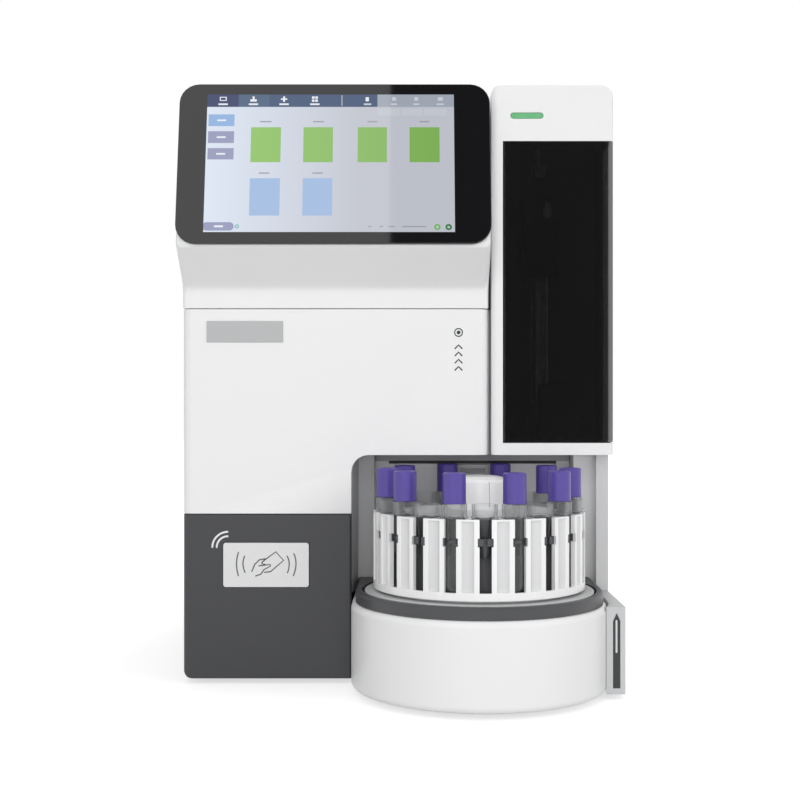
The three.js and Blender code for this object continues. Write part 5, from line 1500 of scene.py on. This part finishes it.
def makeGlass():
    plan = screenPlan
    low, high = box("display_glass")
    thickness = plan["thickness"]
    width = high.x - low.x
    height = (high.z - low.z - thickness * math.sin(tilt)) / math.cos(tilt)
    points = roundRect(-width / 2, width / 2, 0, height, plan["corner"])
    glass = prism("display_glass_form", points, 0, thickness, "Y", plan["edge"], 3)
    glass.rotation_euler = (-tilt, 0, 0)
    glass.location = ((low.x + high.x) / 2, low.y, low.z + thickness * math.sin(tilt))
    settle(glass)
    paints["screenGlass"] = makeScreenPaint(Vector((0, low.y, low.z + thickness * math.sin(tilt))))
    dress(glass, "screenGlass", "display_glass")


makeGlass()
print("display made")


# Stage: a pale floor, soft studio lights, and cards that only reflections see
lightsPlan = {
    "frontSoftbox": {"place": (-0.45, -2.1, 0.85), "aim": (0, 0, 0.2), "size": (1.9, 1.3), "power": 12.4},
    "fillSoftbox": {"place": (0.1, -2.2, 0.2), "aim": (0.05, 0, 0.15), "size": (1.2, 0.4), "power": 8.2},
    "rightSoftbox": {"place": (1.7, -1.1, 0.8), "aim": (0, 0, 0.2), "size": (1.3, 1.3), "power": 6.5},
    "topSoftbox": {"place": (0.1, 0.1, 1.9), "aim": (0, 0, 0.2), "size": (1.4, 1.4), "power": 4.5},
    "rearSoftbox": {"place": (0.5, 2.2, 1.2), "aim": (0, 0, 0.2), "size": (1.6, 1.2), "power": 11},
}
floorPlan = {"size": 12, "near": 0.3, "far": 1.1, "lift": 0.62, "colour": 0.62}
cardPlan = {
    "glassCard": {
        "y": -1.5, "x": (-1.2, -0.018), "z": (0.95, 1.75), "glow": 1.75, "fade": (-0.6, -0.018, 0.86),
    },
    "glassFlag": {"y": -1.5, "x": (-0.018, 1.2), "z": (0.95, 1.75), "glow": 0, "fade": (0, 1, 1)},
    "windowFlag": {"y": -1.6, "x": (0.15, 0.45), "z": (0.1, 0.75), "glow": 0, "fade": (0, 1, 1)},
}
worldPlan = {"diffuse": 0.55, "seen": 1.0}


def seenRays(tree):
    # 1 for camera, glossy and transmission rays, 0 for those that light the object
    rays = tree.nodes.new("ShaderNodeLightPath")
    seen = rays.outputs["Is Camera Ray"]
    for kind in ("Is Glossy Ray", "Is Transmission Ray"):
        either = tree.nodes.new("ShaderNodeMath")
        either.operation = "MAXIMUM"
        tree.links.new(seen, either.inputs[0])
        tree.links.new(rays.outputs[kind], either.inputs[1])
        seen = either.outputs[0]
    return seen


def makeFloor():
    plan = floorPlan
    bpy.ops.mesh.primitive_plane_add(size=plan["size"], location=(0, 0, 0))
    floor = bpy.context.object
    floor.name = "floor"
    paint = Paint("paleFloor")
    cloud = paint.noise(3, 2)
    here = paint.node("ShaderNodeTexCoord", output="Object")
    reach = paint.node("ShaderNodeVectorMath", {"operation": "LENGTH"}, [here], output="Value")
    white = paint.node("ShaderNodeMapRange", {"interpolation_type": "SMOOTHSTEP"}, {
        "Value": reach, "From Min": plan["near"], "From Max": plan["far"], "To Min": plan["lift"],
        "To Max": 1.0,
    })
    glow = white * Signal(paint, seenRays(paint.tree))
    grey = plan["colour"]
    paint.set(
        Base_Color=paint.blend(
            cloud, [grey - 0.01, grey - 0.01, grey - 0.01, 1], [grey + 0.01, grey + 0.01, grey + 0.01, 1]
        ),
        Roughness=0.9, Specular_IOR_Level=0, Emission_Strength=1,
        Emission_Color=paint.blend(glow, [0, 0, 0, 1], [1, 1, 1, 1]),
    )
    floor.data.materials.append(paint.material)


def makeCard(name, plan):
    x0, x1 = plan["x"]
    z0, z1 = plan["z"]
    bpy.ops.mesh.primitive_plane_add(
        size=1, location=((x0 + x1) / 2, plan["y"], (z0 + z1) / 2), rotation=(math.pi / 2, 0, 0),
    )
    card = bpy.context.object
    card.name = name
    card.scale = (x1 - x0, z1 - z0, 1)
    settle(card)
    paint = Paint(name + "Paint")
    here = paint.node("ShaderNodeTexCoord", output="Object")
    across = paint.node("ShaderNodeSeparateXYZ", {}, [here])
    start, end, level = plan["fade"]
    share = (across - start) / (end - start)
    paint.set(
        Base_Color=[0, 0, 0, 1], Roughness=1, Specular_IOR_Level=0, Emission_Strength=plan["glow"],
        Emission_Color=paint.blend(share, [1, 1, 1, 1], [level, level, level, 1]),
    )
    card.data.materials.append(paint.material)
    card.visible_camera = False
    card.visible_diffuse = False
    card.visible_transmission = False
    card.visible_shadow = False


def makeLights():
    for name, plan in lightsPlan.items():
        data = bpy.data.lights.new(name, "AREA")
        data.shape = "RECTANGLE"
        data.size, data.size_y = plan["size"]
        data.energy = plan["power"]
        lamp = bpy.data.objects.new(name, data)
        bpy.context.scene.collection.objects.link(lamp)
        lamp.location = plan["place"]
        aim = Vector(plan["aim"]) - Vector(plan["place"])
        lamp.rotation_euler = aim.to_track_quat("-Z", "Y").to_euler()
        lamp.visible_glossy = False


def makeWorld():
    world = bpy.data.worlds.new("studio")
    bpy.context.scene.world = world
    world.use_nodes = True
    tree = world.node_tree
    background = tree.nodes["Background"]
    background.inputs["Color"].default_value = (1, 1, 1, 1)
    level = tree.nodes.new("ShaderNodeMapRange")
    level.inputs["To Min"].default_value = worldPlan["diffuse"]
    level.inputs["To Max"].default_value = worldPlan["seen"]
    tree.links.new(seenRays(tree), level.inputs["Value"])
    tree.links.new(level.outputs[0], background.inputs["Strength"])


makeFloor()
for name, plan in cardPlan.items():
    makeCard(name, plan)
makeLights()
makeWorld()
bpy.context.scene.view_settings.view_transform = "Standard"
